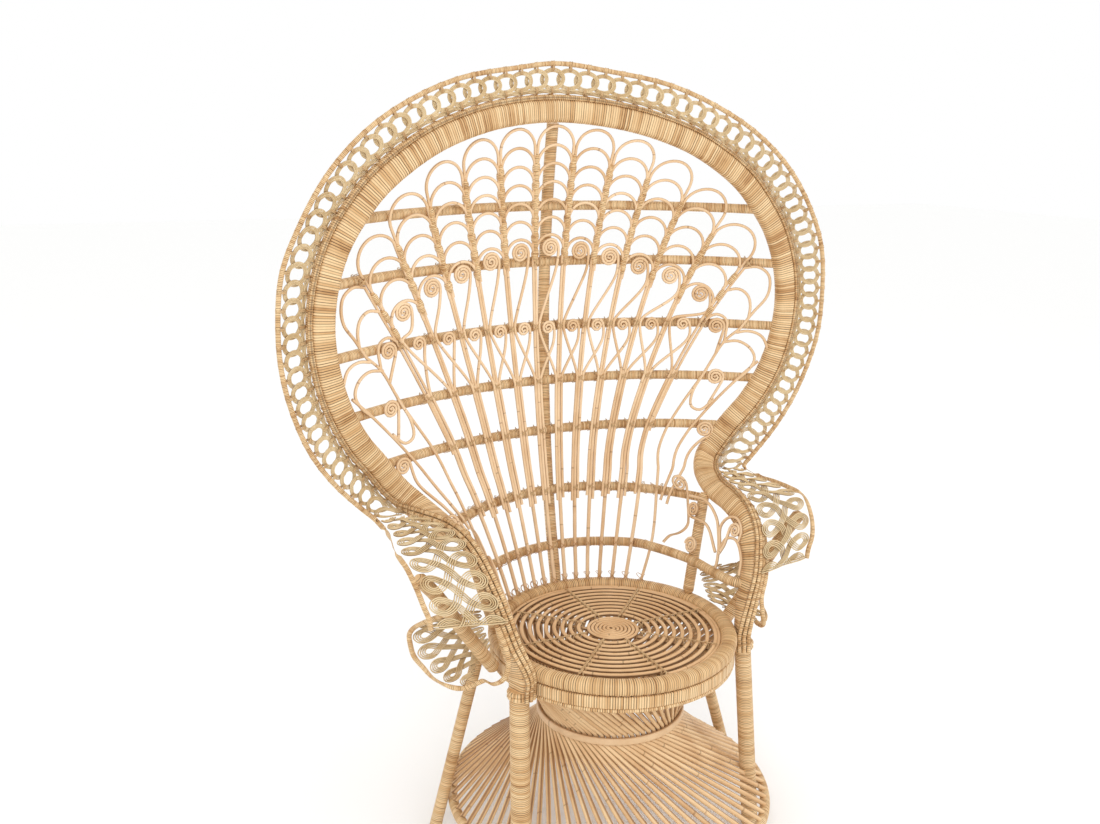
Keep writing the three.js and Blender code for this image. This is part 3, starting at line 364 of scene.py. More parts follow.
def makeFinish(name, slot, colours, wound=False):
    material = bpy.data.materials.new(name)
    material.use_nodes = True
    tints = (linear(colours[key]) for key in ("pale", "deep", "stain", "seam"))
    pale, deep, stainColour, seamColour = tints
    material.diffuse_color = pale
    net = Net(material.node_tree)
    net.tree.nodes.clear()
    shine = {"IOR": pattern["ior"], "Specular IOR Level": pattern["gloss"]}
    shader = net.put("ShaderNodeBsdfPrincipled", None, shine)
    place = net.add("ShaderNodeTexCoord", key="Object")
    wind, run, tone = (attribute(net, key) for key in ("wind", "run", "tone"))
    mottled = {"Vector": place, "Scale": pattern["blotch"], "Detail": 3.0}
    blotch = net.add("ShaderNodeTexNoise", None, mottled)
    stretched = net.add("ShaderNodeMapping", None, {0: place, 3: pattern["grain"]})
    grain = net.add("ShaderNodeTexNoise", None, {"Vector": stretched, "Scale": 1.0, "Detail": 2.0})
    if wound:  # each winding of peel has its own tint, with a dark line to the next
        winding = net.maths("FLOOR", wind + tone * pattern["hues"])
        tint = whiteNoise(net, winding)
        spread = net.maths("ABSOLUTE", wind % 1 - 0.5)
        depth = whiteNoise(net, winding + 0.37)
        seam = ramp(net, spread, 0.25, 0.46) * (0.35 + depth * 0.65)
        stain = ramp(net, tint * 0.7 + blotch * 0.6, 0.93, 1.05)
        hue = ramp(net, tint * 0.5 + blotch * 0.6, 0.15, 0.95)
    else:  # plain cane: a tint for each, with a ring at each node of the stem
        beat = (run / (0.16 + tone * 0.2) + tone * 7) % 1
        seam = ramp(net, net.maths("ABSOLUTE", beat - 0.5), 0.492, 0.4985)
        stain = ramp(net, blotch * 0.6 + tone * 0.4, 0.62, 0.85) * 0.5
        hue = tone * 0.55 + ramp(net, blotch, 0.3, 0.72) * 0.45
    colour = mix(net, hue, pale, deep)
    colour = mix(net, stain * colours["stains"], colour, stainColour)
    colour = mix(net, grain * 0.22, colour, stainColour)
    colour = mix(net, seam * colours["seams"], colour, seamColour)
    if colours["paintedFlankShade"]:  # painted shade: canes that lie side by side are darker where they face each other, standing in for the shadow that falls between them
        facing = net.add("ShaderNodeNewGeometry", key="Normal")
        outwards = net.vectors("NORMALIZE", {0: attribute(net, "side", "Vector")})
        facing = net.vectors("DOT_PRODUCT", {0: facing, 1: outwards}, "Value")
        flankShadeMask = 1 - ramp(net, net.maths("ABSOLUTE", facing), 0.12, 0.72)
        colour = mix(net, flankShadeMask * colours["paintedFlankShade"], colour, seamColour)
    height = grain * 0.6 + (1 - seam) * 0.8
    bumps = {"Strength": pattern["bump"], "Distance": pattern["relief"], "Height": height}
    relief = net.add("ShaderNodeBump", None, bumps)
    rough = colours["rough"] + (blotch - 0.5) * 0.25 + grain * 0.1
    for key, value in (("Base Color", colour), ("Roughness", rough), ("Normal", relief)):
        net.tree.links.new(value.socket, net.pick(shader.inputs, key))
    net.put("ShaderNodeOutputMaterial", None, {"Surface": net.take(shader)})
    return material, slot


# In these tables, flanks sets how strongly painted shade darkens the sides of canes that lie side by side
wrappedColours = {
    "pale": (247, 216, 168), "deep": (208, 164, 111), "stain": (160, 112, 66), "seam": (74, 46, 22),
    "stains": 0.5, "seams": 1.0, "paintedFlankShade": 0.0, "rough": 0.42,
}
caneColours = {
    "pale": (245, 217, 179), "deep": (220, 183, 139), "stain": (180, 134, 92), "seam": (130, 88, 54),
    "stains": 0.4, "seams": 0.5, "paintedFlankShade": 0.5, "rough": 0.4,
}
laceColours = {
    "pale": (236, 214, 173), "deep": (208, 178, 130), "stain": (172, 140, 98), "seam": (112, 78, 44),
    "stains": 0.4, "seams": 0.3, "paintedFlankShade": 0.85, "rough": 0.5,
}
seatColours = {
    "pale": (240, 203, 156), "deep": (210, 166, 117), "stain": (134, 92, 56), "seam": (92, 56, 26),
    "stains": 0.5, "seams": 0.5, "paintedFlankShade": 0.85, "rough": 0.42,
}
lashingColours = {
    "pale": (222, 182, 128), "deep": (188, 140, 90), "stain": (134, 86, 50), "seam": (96, 58, 28),
    "stains": 0.5, "seams": 0.5, "paintedFlankShade": 0.35, "rough": 0.45,
}
seatWrapColours = wrappedColours | {"pale": (240, 205, 154), "deep": (202, 159, 107)}
bindingColours = lashingColours | {"pale": (236, 206, 158), "deep": (212, 172, 122)}
stickColours = caneColours | {"paintedFlankShade": 0.8, "pale": (244, 212, 166), "deep": (216, 174, 125)}
wrapped = makeFinish("wrapped_peel", "wrapped_cane", wrappedColours, True)
plain = makeFinish("plain_cane", "round_cane", caneColours)
peel = makeFinish("lace_peel", "peel_lace", laceColours)
seatCane = makeFinish("seat_cane", "round_cane", seatColours)
seatWrap = makeFinish("seat_wrap", "wrapped_cane", seatWrapColours, True)
# edge_wrap is the wrapped finish with painted shade on the sides of the beads, where they lie against each
# other
edgeWrap = makeFinish("edge_wrap", "round_cane", wrappedColours | {"paintedFlankShade": 0.55, "seams": 0.8}, True)
lashing = makeFinish("lashing_peel", "peel_lace", lashingColours)
binding = makeFinish("binding_peel", "peel_lace", bindingColours)
stickCane = makeFinish("stick_cane", "round_cane", stickColours)
trimWrap = (wrapped[0], "round_cane")
print("finishes made")

# Main sizes, which the frame also has
seatRadius, hoopHalfWidth, hoopHeight, backDepth = 221, 458, 895, 279
armHalfWidth, armHeight = 268, 200
fanHeight, fanReach = 875, 450
rimHalfWidth, rimHeight = 534, 975
wingReach, wingHeight, lobeReach = 393, 209, 363
postAzimuth, postOut, postDrop = 68, 14.3, -23.7

# The hoop, from foot to foot over the crown: where it lies, and the direction of its beaded edge
balloonRows = [
    [0, 0.882, 1, 0, 0, 1], [0.227, 0.826, 0.99, 0.12, 0, 0.99],
    [0.408, 0.75, 0.968, 0.24, 0, 0.97], [0.581, 0.681, 0.932, 0.42, 0, 0.91],
    [0.764, 0.627, 0.868, 0.65, 0, 0.76], [0.86, 0.608, 0.813, 0.8, 0, 0.6],
    [0.93, 0.593, 0.758, 0.91, 0, 0.42], [0.978, 0.581, 0.691, 0.98, 0, 0.2],
    [1, 0.577, 0.612, 1, 0, 0], [0.987, 0.585, 0.534, 0.98, 0, -0.2],
    [0.945, 0.606, 0.457, 0.9, 0, -0.44], [0.873, 0.65, 0.385, 0.81, 0, -0.58],
    [0.799, 0.695, 0.335, 0.77, 0, -0.64], [0.745, 0.722, 0.297, 0.78, 0, -0.6],
    [0.69, 0.71, 0.264, 0.86, -0.1, -0.42], [0.638, 0.6, 0.241, 0.97, -0.2, 0],
]
armRows = [
    [1, 0.416, 1, 0.8, 0, 0.6], [0.978, 0.136, 0.97, 0.64, 0, 0.77],
    [0.966, -0.063, 0.9, 0.5, -0.35, 0.75], [0.948, -0.199, 0.775, 0.35, -0.75, 0.5],
    [0.929, -0.271, 0.63, 0.15, -0.95, 0.2], [0.907, -0.32, 0.48, 0, -1, 0],
    [0.865, -0.35, 0.25, -0.15, -0.97, 0],
]
postFoot = [around(seatRadius + postOut, postAzimuth, height) for height in (0, postDrop)]
postEdge = [-math.cos(math.radians(postAzimuth)), -math.sin(math.radians(postAzimuth)), 0]
balloonHalf = np.array(balloonRows)[:, :3] * [hoopHalfWidth, backDepth, hoopHeight]
armHalf = np.array(armRows)[:, :3] * [armHalfWidth, seatRadius, armHeight]
hoopHalf = np.vstack([balloonHalf, armHalf, postFoot])
edgeHalf = np.vstack([np.array(balloonRows)[:, 3:], np.array(armRows)[:, 3:], postEdge, postEdge])


def footToFoot(points):
    return np.vstack([mirrored(points)[::-1], points[1:]])


hoopLine, hoopEdge = Line(footToFoot(hoopHalf)), Line(footToFoot(edgeHalf))
lastControl = len(hoopLine.points) - 1
waistAt = (lastControl + 1 - len(balloonRows) * 2 + 1) / 2 / lastControl


def hoopFrame(t):
    along = hoopLine.tangent(t)
    edge = hoopEdge.at(t)
    edge = unit(edge - along * np.sum(edge * along, axis=1, keepdims=True))
    return hoopLine.at(t), edge, unit(np.cross(along, edge))


def across(t, outward, sideways):
    middle, edge, flat = hoopFrame(t)
    return middle + edge * np.reshape(outward, (-1, 1)) + flat * np.reshape(sideways, (-1, 1))


hoop = {"width": 40, "depth": 24, "corner": 9, "spacing": 1.42, "groove": 0.035, "swell": 0.012, "seed": 3}
everyT = np.linspace(0, 1, 700)
edgeSide = hoopFrame(everyT)[1]
dress("hoop", "band", [strand(hoopLine.at(everyT), edgeSide)], hoop, wrapped)
print("hoop band made")

bead = {"width": 8, "spacing": 1.25, "sides": 8, "groove": 0.07, "swell": 0.03, "bend": 0.5}
beadOut, beadArc, beadGap, beadDrop = 24.3, 1.4, 8.2, 14
for i, name in enumerate(("rear", "middle", "front")):
    line = across(everyT, beadOut - abs(i - 1) * beadArc, (i - 1) * beadGap)
    drops = np.array([[0, 0, beadDrop], [0, 0, beadDrop / 2]])
    line = np.vstack([line[0] - drops, line, line[-1] - drops[::-1]])
    beadSide = np.pad(edgeSide, ((2, 2), (0, 0)), mode="edge")
    dress(f"edge_bead_{name}", "cane", [strand(line, beadSide)], bead | {"seed": 11 + i}, edgeWrap)

# Stitches of peel that hold the beads to the hoop
stitch = {"width": 2.0, "depth": 1.1, "spacing": 3, "sides": 5, "seed": 21}
stitchEvery, stitchLean = 19.0, 2.2
stitchArc = [(20, -12.6), (25.4, -12.0), (28.0, -8.2), (28.9, 0), (28.0, 8.2), (25.4, 12.0), (20, 12.6)]
stitches = []
for t in np.linspace(0.004, 0.996, int(hoopLine.length / stitchEvery)):
    middle, edge, flat = (given[0] for given in hoopFrame(t))
    along = hoopLine.tangent(t)[0]
    line = [middle + edge * out + flat * off + along * stitchLean * off / 12 for out, off in stitchArc]
    stitches.append(strand(line, along))
canes("bead_stitches", stitches, stitch, lashing)
print("beads and", len(stitches), "stitches made")

# Outer rim: one wrapped cane round the balloon and down both wings
rimRows = [
    [0, 0.86, 1], [0.169, 0.81, 0.989], [0.375, 0.728, 0.968], [0.552, 0.656, 0.93],
    [0.704, 0.584, 0.879], [0.833, 0.527, 0.81], [0.934, 0.498, 0.721], [0.983, 0.502, 0.653],
    [1, 0.509, 0.553], [0.991, 0.513, 0.483], [0.961, 0.534, 0.416], [0.914, 0.556, 0.351],
    [0.845, 0.573, 0.292], [0.76, 0.584, 0.24], [0.713, 0.584, 0.215],
]
wingRows = [
    [0.967, 0.462, 0.995], [0.977, 0.29, 1], [0.997, 0.09, 0.99], [1, -0.072, 0.976],
    [0.99, -0.163, 0.933], [0.972, -0.276, 0.81], [0.955, -0.327, 0.689], [0.934, -0.335, 0.574],
    [0.929, -0.335, 0.498],
]
laceStart, laceInset = 29.2, 6.5  # hoop's middle to the lace, and the lace to the rim's middle
rimHalf = np.array(rimRows) * [rimHalfWidth, backDepth, rimHeight]
rimLine = Line(footToFoot(rimHalf))
wingLine = Line(np.vstack([rimHalf[-1], np.array(wingRows) * [wingReach, seatRadius, wingHeight]]))
waistSpan = Line(across(np.linspace(waistAt, 1 - waistAt, 90), laceStart, 0))
wingSpan = Line(across(np.linspace(1 - waistAt, 1 - 3 / lastControl, 40), laceStart, 0))

rim = {"width": 8.8, "spacing": 0.9, "sides": 9, "groove": 0.09, "swell": 0.02, "seed": 31}
wingRight = wingLine.even(90, 0.02)
wholeRim = Line(np.vstack([mirrored(wingRight)[::-1], rimLine.even(240, 0.004, 0.996), wingRight]))
dress("outer_rim", "cane", [strand(wholeRim.even(900), (0, 1, 0))], rim, wrapped)


# A strip between an inner line and a rim: along it, across it from 0 to 1, and off its face in mm
def strip(inner, outer, inset, facing=lambda along: along):
    def at(along, share, off):
        given = np.broadcast_arrays(along, share, off)
        along, share, off = (np.asarray(values, float).reshape(-1, 1) for values in given)
        opposite = facing(along[:, 0])
        start, end = inner.along(along[:, 0]), outer.along(opposite)
        out = unit(end - start)
        flat = unit(np.cross(outer.tangentAlong(opposite), out))
        return start + (end - out * inset - start) * share + flat * off

    return at


def laid(at, along, share, off, closed=False):
    normal = unit(at(along, share, 1) - at(along, share, 0))
    return strand(at(along, share, off), normal, closed)


# Ring lace: rings of four strands of peel, each over its neighbour on one side and under it on the other
lace = {"width": 2.1, "depth": 2.0, "spacing": 3.6, "sides": 6, "bend": 0.4, "swell": 0.06, "seed": 41}
ring = {"count": 81, "strands": 4, "inset": 1.0, "gap": 1.95, "tall": 40.0, "overlap": 0.45}
ring |= {"middle": 25.8, "weave": 2.3, "ripple": 0.4}
ribbon = {"strands": 4, "start": 1.4, "gap": 1.9, "swing": 0.7, "weave": 1.2}
laceWide, laceEnds = 46.0, 0.4
pitchRows = [0, 0.12, 0.25, 0.5, 0.72, 1], [25, 25.5, 29.5, 33, 25, 25]  # wider at the crown
laceShares, rimShares = np.linspace(0, 1, 401), np.linspace(0, 1, 1201)
laceInner = waistSpan.along(laceShares)
rimFar = np.linalg.norm(rimLine.along(rimShares)[None] - laceInner[:, None], axis=2)
nearest = rimShares[np.argmin(rimFar, axis=1)]
nearest = np.clip(nearest, laceEnds * laceShares, 1 - laceEnds * (1 - laceShares))
nearest = np.interp(laceShares, laceShares[::8], nearest[::8])


def facingRim(along):
    return np.interp(along, laceShares, nearest)


lacePlace = strip(waistSpan, rimLine, laceInset, facingRim)
laceMiddle = (laceInner + rimLine.along(nearest)) / 2
lacePitches = np.interp(laceShares, *pitchRows)
laceGaps = np.linalg.norm(np.diff(laceMiddle, axis=0), axis=1)
laceSteps = np.concatenate([[0], np.cumsum(laceGaps / lacePitches[1:])])
laceSteps *= ring["count"] / laceSteps[-1]


def laceAlong(index):
    return np.interp(index, laceSteps, laceShares)


rings = []
angles = np.linspace(0, 2 * math.pi, 32, endpoint=False)
for i in range(ring["count"]):
    pitch = np.interp(laceAlong(i + 0.5), laceShares, lacePitches)
    for k in range(ring["strands"]):
        inset = ring["inset"] + k * ring["gap"]
        half = (1 + ring["overlap"]) / 2 - inset / pitch
        along = laceAlong(i + 0.5 + half * np.cos(angles))
        share = (ring["middle"] + (ring["tall"] / 2 - inset) * np.sin(angles)) / laceWide
        off = ring["weave"] * np.cos(angles) + ring["ripple"] * np.sin(5 * angles + i)
        rings.append(laid(lacePlace, along, share, off, True))
steps = np.linspace(0.2, ring["count"] - 0.2, ring["count"] * 8)
beats = 2 * math.pi * steps
for k in range(ribbon["strands"]):  # along the beads, for the rings to stand on
    share = (ribbon["start"] + k * ribbon["gap"] + ribbon["swing"] * np.cos(beats)) / laceWide
    rings.append(laid(lacePlace, laceAlong(steps), share, ribbon["weave"] * np.sin(beats + k)))
dress("ring_lace", "strands", rings, lace, peel)


# Turns of peel round a cane: about a point beside the centre, in the plane across the direction
def turnsOfPeel(centre, direction, out, sizes):
    turns = sizes["turns"]
    sideways = unit(np.cross(direction, out))
    angles = np.linspace(0, 2 * math.pi * turns, 10 * turns + 1)
    shift = (angles / (2 * math.pi) - turns / 2) * sizes["pitch"]
    points = centre + out * sizes["out"] + np.outer(np.cos(angles) * sizes["wide"] / 2, out)
    points = points + np.outer(np.sin(angles) * sizes["high"] / 2, sideways) + np.outer(shift, direction)
    return strand(points, direction)


tie = {"turns": 2, "pitch": 2.4, "width": 2.3, "depth": 1.0, "spacing": 3, "sides": 5, "seed": 51}
rimTie = tie | {"out": -4.4, "wide": 18.4, "high": 9.8}
beadTie = tie | {"out": 5.6, "wide": 13.4, "high": 7}
laceTies = []
for i in range(ring["count"]):
    at = float(laceAlong(i + 0.5))
    inner, outer = waistSpan.along(at)[0], rimLine.along(facingRim(at))[0]
    out = unit(outer - inner)
    heading = rimLine.tangentAlong(facingRim(at))[0]
    laceTies.append(turnsOfPeel(outer, heading, out, rimTie))
    laceTies.append(turnsOfPeel(inner, heading, out, beadTie))
canes("lace_ties", laceTies, tie, binding)
print("ring lace made:", len(rings), "strands")


# Wing and lobe lace: two ribbons, half a step apart, that swing from edge to edge with an ear at each
def ribbons(at, sizes):
    long, tall, loops, count = (sizes[key] for key in ("long", "tall", "loops", "count"))
    gap, ear, lift = (sizes[key] for key in ("gap", "ear", "lift"))
    made = []
    step = long / loops
    half = (count - 1) / 2 * gap + gap / 2
    for lag in (0.0, 0.5):
        knots = []
        for i in range(-1, 2 * loops + 2):
            middle = (i / 2 + lag) * step
            heart, out = (tall - half - ear, 1) if i % 2 == 0 else (half + ear, -1)
            over = lift * out
            neck, brow, tip = heart - out * ear * 1.35, heart + out * ear * 0.7, heart + out * ear
            knots += [(middle, neck, over), (middle + ear, heart, over / 2), (middle + ear * 0.7, brow, 0)]
            knots += [(middle, tip, 0), (middle - ear * 0.7, brow, 0), (middle - ear, heart, -over / 2)]
            knots += [(middle, neck, -over), (middle + step / 4, tall / 2, over)]
        line = Line(knots)
        places = line.even(int(line.length / 4.5))
        tangent = unit(np.gradient(places[:, :2], axis=0))
        for k in range(count):
            shift = (k - (count - 1) / 2) * gap
            u, v = places[:, 0] - tangent[:, 1] * shift, places[:, 1] + tangent[:, 0] * shift
            inside = (u > 0.005 * long) & (u < 0.995 * long)
            starts = np.flatnonzero(np.diff(np.concatenate([[0], inside.astype(int), [0]])))
            for first, last in zip(starts[::2], starts[1::2]):
                if last - first < 5:
                    continue
                along = sizes["start"] + sizes["span"] * (u[first:last] / long)
                share = np.clip(v[first:last] / tall, 0.01, 0.99)
                made.append(laid(at, along, share, places[first:last, 2]))
    return made


wingLace = {"long": 340, "tall": 98, "loops": 4, "count": 4, "gap": 3.2, "ear": 13.0, "lift": 2.6}
wingLace |= {"start": 0.03, "span": 0.97}
wing = {"width": 2.9, "depth": 2.4, "spacing": 4.5, "sides": 6, "bend": 0.5, "swell": 0.06, "seed": 61}
wingPlace = strip(wingSpan, wingLine, laceInset)
wingStrands = ribbons(wingPlace, wingLace)
wingShares = np.linspace(0.0, 1.0, 20)
for start in (0.985, 0.997):  # the ribbon along the open lower end
    points = wingPlace(start, wingShares, 1.5 * np.sin(wingShares * 9))
    wingStrands.append(strand(points, laid(wingPlace, 0.98, wingShares, 0)[1]))
dressBoth(("wing_lace", "strands", wingStrands, wing | {"leftSeed": 62}, peel))

lobeRimRows = [
    [0.87, -0.09, 0.495], [0.948, 0.054, 0.38], [0.986, 0.163, 0.28], [0.997, 0.208, 0.2],
    [0.995, 0.2, 0.13], [0.978, 0.199, 0.005], [0.95, 0.131, -0.07], [0.923, 0.023, -0.125],
    [0.876, -0.118, -0.145], [0.821, -0.158, -0.16], [0.745, -0.27, -0.06],
]
lobeInnerRows = [[0.61, 0.33, 0.3], [0.615, 0.25, 0.15], [0.61, 0.14, 0.05], [0.603, 0.063, 0.01]]
lobeScale = [lobeReach, seatRadius, armHeight]
lobeLine, lobeSpan = Line(np.array(lobeRimRows) * lobeScale), Line(np.array(lobeInnerRows) * lobeScale)
lobeLace = {"long": 216, "tall": 96, "loops": 3, "count": 4, "gap": 2.9, "ear": 11.0, "lift": 2.2}
lobeLace |= {"start": 0.12, "span": 0.74, "inset": 5.4}
lobeStrands = ribbons(strip(lobeSpan, lobeLine, lobeLace["inset"]), lobeLace)
lobeRim = {"width": 9, "spacing": 1.05, "sides": 8, "groove": 0.08, "seed": 71}
sweepRows = [[264, -84, -8], [254, -103, 8], [247, -107, 32]]  # then the rim goes up the front of the arm
armSpots, sweepOut, sweepAside = [0.955, 0.94, 0.915, 0.89], 23, -16.6
lobeWhole = Line(np.vstack([lobeLine.even(60), sweepRows, across(armSpots, sweepOut, sweepAside)]))
dressBoth(
    ("lobe_lace", "strands", lobeStrands, wing | {"seed": 72}, peel),
    ("lobe_rim", "cane", [strand(lobeWhole.even(220), (0, 1, 0.3))], lobeRim, wrapped),
)
print("wings and lobes made")

# The back's shell: at each height an arc through the spine and the hoop's inner edges
spineBow, spineBowHeight, footRadius = 69.6, 520, 209
innerEdge = across(np.linspace(0.5, 1 - waistAt, 85)[6:], -hoop["width"] / 2, 0)
shellTop = [0, backDepth - spineBow * (fanHeight / spineBowHeight - 1) ** 2, fanHeight]
shellEdges = np.vstack([shellTop, innerEdge, [footRadius, 0, 10]])
shellEdges = shellEdges[np.argsort(shellEdges[:, 2])]


def shellReach(z):
    return np.interp(z, shellEdges[:, 2], shellEdges[:, 0])


def shellDepth(x, z):
    middle = backDepth - spineBow * ((z - spineBowHeight) / spineBowHeight) ** 2
    sag = np.maximum(middle - np.interp(z, shellEdges[:, 2], shellEdges[:, 1]), middle / spineBowHeight)
    radius = (shellReach(z) ** 2 + sag**2) / (2 * sag)
    return middle - radius + np.sqrt(np.maximum(0, radius**2 - x**2))


def shellNormal(x, z):
    dx = shellDepth(x - 1, z) - shellDepth(x + 1, z)
    dz = shellDepth(x, z - 1) - shellDepth(x, z + 1)
    return unit(np.stack([dx / 2, np.ones_like(dx), dz / 2], -1))


def onShell(places, off=0.0):
    x, z = np.asarray(places, float).T
    return np.stack([x, shellDepth(x, z), z], 1) + shellNormal(x, z) * np.reshape(off, (-1, 1))


def onFan(places, off=0.0, closed=False):
    x, z = np.asarray(places, float).T
    return strand(onShell(places, off), shellNormal(x, z), closed)


def smooth(places, gap=6.0):
    line = Line(np.hstack([np.asarray(places, float), np.zeros((len(places), 1))]))
    return line.even(max(4, int(line.length / gap)))[:, :2]


def columnX(column, z):
    rise = np.asarray(z, float) / fanHeight
    flare = 0.45 * np.maximum(0, rise - 0.333)
    return column * (22 + 39.4 * rise + 19.1 * rise**2) * (1 + flare * abs(column / 5.5) ** 3)


# Rods, rail and spine, wrapped in peel
rod = {"width": 18, "spacing": 1.02, "sides": 12, "groove": 0.05, "swell": 0.012, "bend": 0.6}
rodHeights = [share * fanHeight for share in (0.829, 0.712, 0.573, 0.454, 0.344, 0.211)]
rodBack, rodDroop, rodPast = 13.1, 10, 5
for i, height in enumerate(rodHeights):
    reach = shellReach(height - rodDroop) + rodPast
    share = np.linspace(-1, 1, 120)
    places = np.stack([share * reach, height - rodDroop * share**2], 1)
    dress(f"cross_rod_{i + 1}", "cane", [onFan(places, rodBack)], rod | {"seed": 81 + i}, wrapped)

railHeight, railBack = 77, 18.2
railRows = [
    [0.79, 0.647, 0.38], [0.923, 0.308, 0.375], [0.959, 0.045, 0.365],
    [1.004, -0.226, 0.36], [1.06, -0.29, 0.36],
]
railSide = np.array(railRows) * [seatRadius, seatRadius, armHeight]
railPlaces = [[share * seatRadius, railHeight] for share in (-0.67, -0.5, -0.25, 0, 0.25, 0.5, 0.67)]
railLine = Line(np.vstack([mirrored(railSide)[::-1], onShell(railPlaces, railBack), railSide]))
dress("arm_rail", "cane", [strand(railLine.even(400), (0, 0, 1))], rod | {"seed": 88}, wrapped)

pole = {"spacing": 1.02, "sides": 14, "groove": 0.045, "swell": 0.01}
spine = pole | {"width": 22, "seed": 91}
spineBack, spineFootDepth, spineFoot = 20, 232.3, -40
spineUpper = onShell([[0, share * fanHeight] for share in np.linspace(0.995, 0.03, 40)], spineBack)
spineLine = Line(np.vstack([spineUpper, [[0, spineFootDepth, height] for height in (0, spineFoot)]]))
dress("spine", "pole", [strand(spineLine.even(200), (1, 0, 0))], spine, wrapped)
print("rods, rail and spine made")

# Fan: stakes, arches wound into them, and two rolled scrolls in each column whose tails run down the stakes
fanCane, scrollPitch, archGap, legInset = 5.6, 5.1, 22, 2.55
largeScroll, smallScroll, scrollDrop = 40, 31, 3
largeTurns, smallTurns = 3.3, 2.45
archOut, largeOut, smallOut = -1.2, -2.0, -1.0  # off the shell, so that canes pass behind each other
crownShares = [0.994, 0.987, 0.967, 0.927, 0.871, 0.798]
archCounts = [7, 7, 7, 6, 5, 4]
largeShares = [0.747, 0.738, 0.723, 0.701, 0.679, 0.638]
smallShares = [0.571, 0.571, 0.57, 0.569, 0.568, 0.567]


def legX(column, side, z):
    return columnX(column + side * 0.5, z) - side * legInset


def arch(column, apex, steps):
    lean = (columnX(column, apex) - columnX(column, apex - archGap)) / archGap
    reach = (legX(column, 1, apex - archGap) - legX(column, -1, apex - archGap)) / 2
    heights = [apex - reach - side * lean * reach for side in (1, -1)]
    ends = [np.array([legX(column, side, z), z]) for side, z in zip((1, -1), heights)]
    middle = (ends[0] + ends[1]) / 2
    chord = ends[0] - middle
    rise = np.array([-chord[1], chord[0]])
    angle = np.linspace(0, math.pi, steps)[:, None]
    return middle + chord * np.cos(angle) + rise * np.sin(angle)


def innerArches(column, steps):
    rank = abs(column)
    crown, lowest = crownShares[rank] * fanHeight, largeShares[rank] * fanHeight + archGap
    last = archCounts[rank] - 1
    return [arch(column, crown + (lowest - crown) * i / last, steps) for i in range(1, last + 1)]


def scroll(x, z, size, turns, late=0.0, side=1):
    reach = (size - fanCane) / 2
    share = np.linspace(turns, -late, int((turns + late) * 22) + 1)
    radius = reach - share * scrollPitch
    angle = share * 2 * math.pi
    return np.stack([x + side * radius * np.cos(angle), z + radius * np.sin(angle)], 1)


def withTail(rolled, tail, gap=6.0):
    return np.vstack([rolled[:-3], smooth(np.vstack([rolled[-3:], tail]), gap)])


def stakePlaces(edge, high, low, count, shift=0.0):
    z = np.linspace(high, low, count)
    return np.stack([columnX(edge, z) + shift, z], 1)


third, fourth, fifth, sixth = rodHeights[2:]


def cutBelow(i):  # the tails end at uneven heights below the last rod
    return sixth - 16 - 9 * (math.sin(i * 2.1) * 0.5 + 0.5)


def tailDown(column, rows):
    return [[columnX(column + edge, z) + shift, z] for edge, z, shift in rows]


largeRows = [(-0.5, third + 6, 6.5), (-0.5, third - 8, 7.5), (0.5, fourth + 8, -6.5)]
largeRows += [(0.5, fourth - 12, -6), (0.5, fifth, -6)]
smallRows = [(-0.5, fourth + 8, 6.5), (-0.5, fourth - 12, 6), (-0.5, fifth, 6)]
fan = {"width": fanCane, "spacing": 6, "sides": 8, "bend": 1.2, "swell": 0.03}
for column in range(-5, 6):
    rank = abs(column)
    crown, large, small = (shares[rank] * fanHeight for shares in (crownShares, largeShares, smallShares))
    top = arch(column, crown, 25)
    legs = []
    for side, end in ((1, top[0]), (-1, top[-1])):
        z = np.linspace(end[1] - 4, fourth - 6, 30)
        legs.append(np.stack([legX(column, side, z), z], 1))
    strands = [onFan(np.vstack([legs[0][::-1], top, legs[1]]))]
    for bow in innerArches(column, 21):
        tails = []
        for side, drops, end in ((1, (26, 12), bow[0]), (-1, (12, 26), bow[-1])):
            z = end[1] - np.array(drops)
            tails.append(np.stack([legX(column, side, z) - side * 1.5, z], 1))
        strands.append(onFan(smooth(np.vstack([tails[0], bow, tails[1]])), archOut))
    largeX, smallX = columnX(column, large), columnX(column, small)
    largeTail = [[largeX + largeScroll * 0.37, large - scrollDrop - largeScroll * 0.85]]
    largeTail += tailDown(column, largeRows + [(0.5, cutBelow(column), -6)])
    smallTail = [[smallX + smallScroll * 0.38, small - smallScroll * 0.85]]
    smallTail += tailDown(column, smallRows + [(-0.5, cutBelow(column + 4), 6)])
    rolled = scroll(largeX, large - scrollDrop, largeScroll, largeTurns)
    strands.append(onFan(withTail(rolled, largeTail), largeOut))
    rolled = scroll(smallX, small, smallScroll, smallTurns)
    strands.append(onFan(withTail(rolled, smallTail), smallOut))
    name = "centre" if column == 0 else f"{'left' if column < 0 else 'right'}_{rank}"
    dress(f"fan_column_{name}", "canes", strands, fan | {"seed": 101 + column}, plain)

# Below the fourth rod one thicker cane of each stake goes on to the seat
stake = {"width": 7.2, "spacing": 8, "sides": 10, "bend": 1.6, "swell": 0.04, "seed": 121}
edges = [column + 0.5 for column in range(-6, 6)]
stakeOut, sleeveOut, jointOut = 0.4, -0.8, -0.9
stakes = [onFan(stakePlaces(edge, fourth + 8, 8, 40), stakeOut) for edge in edges]
canes("fan_stakes", stakes, stake, plain)

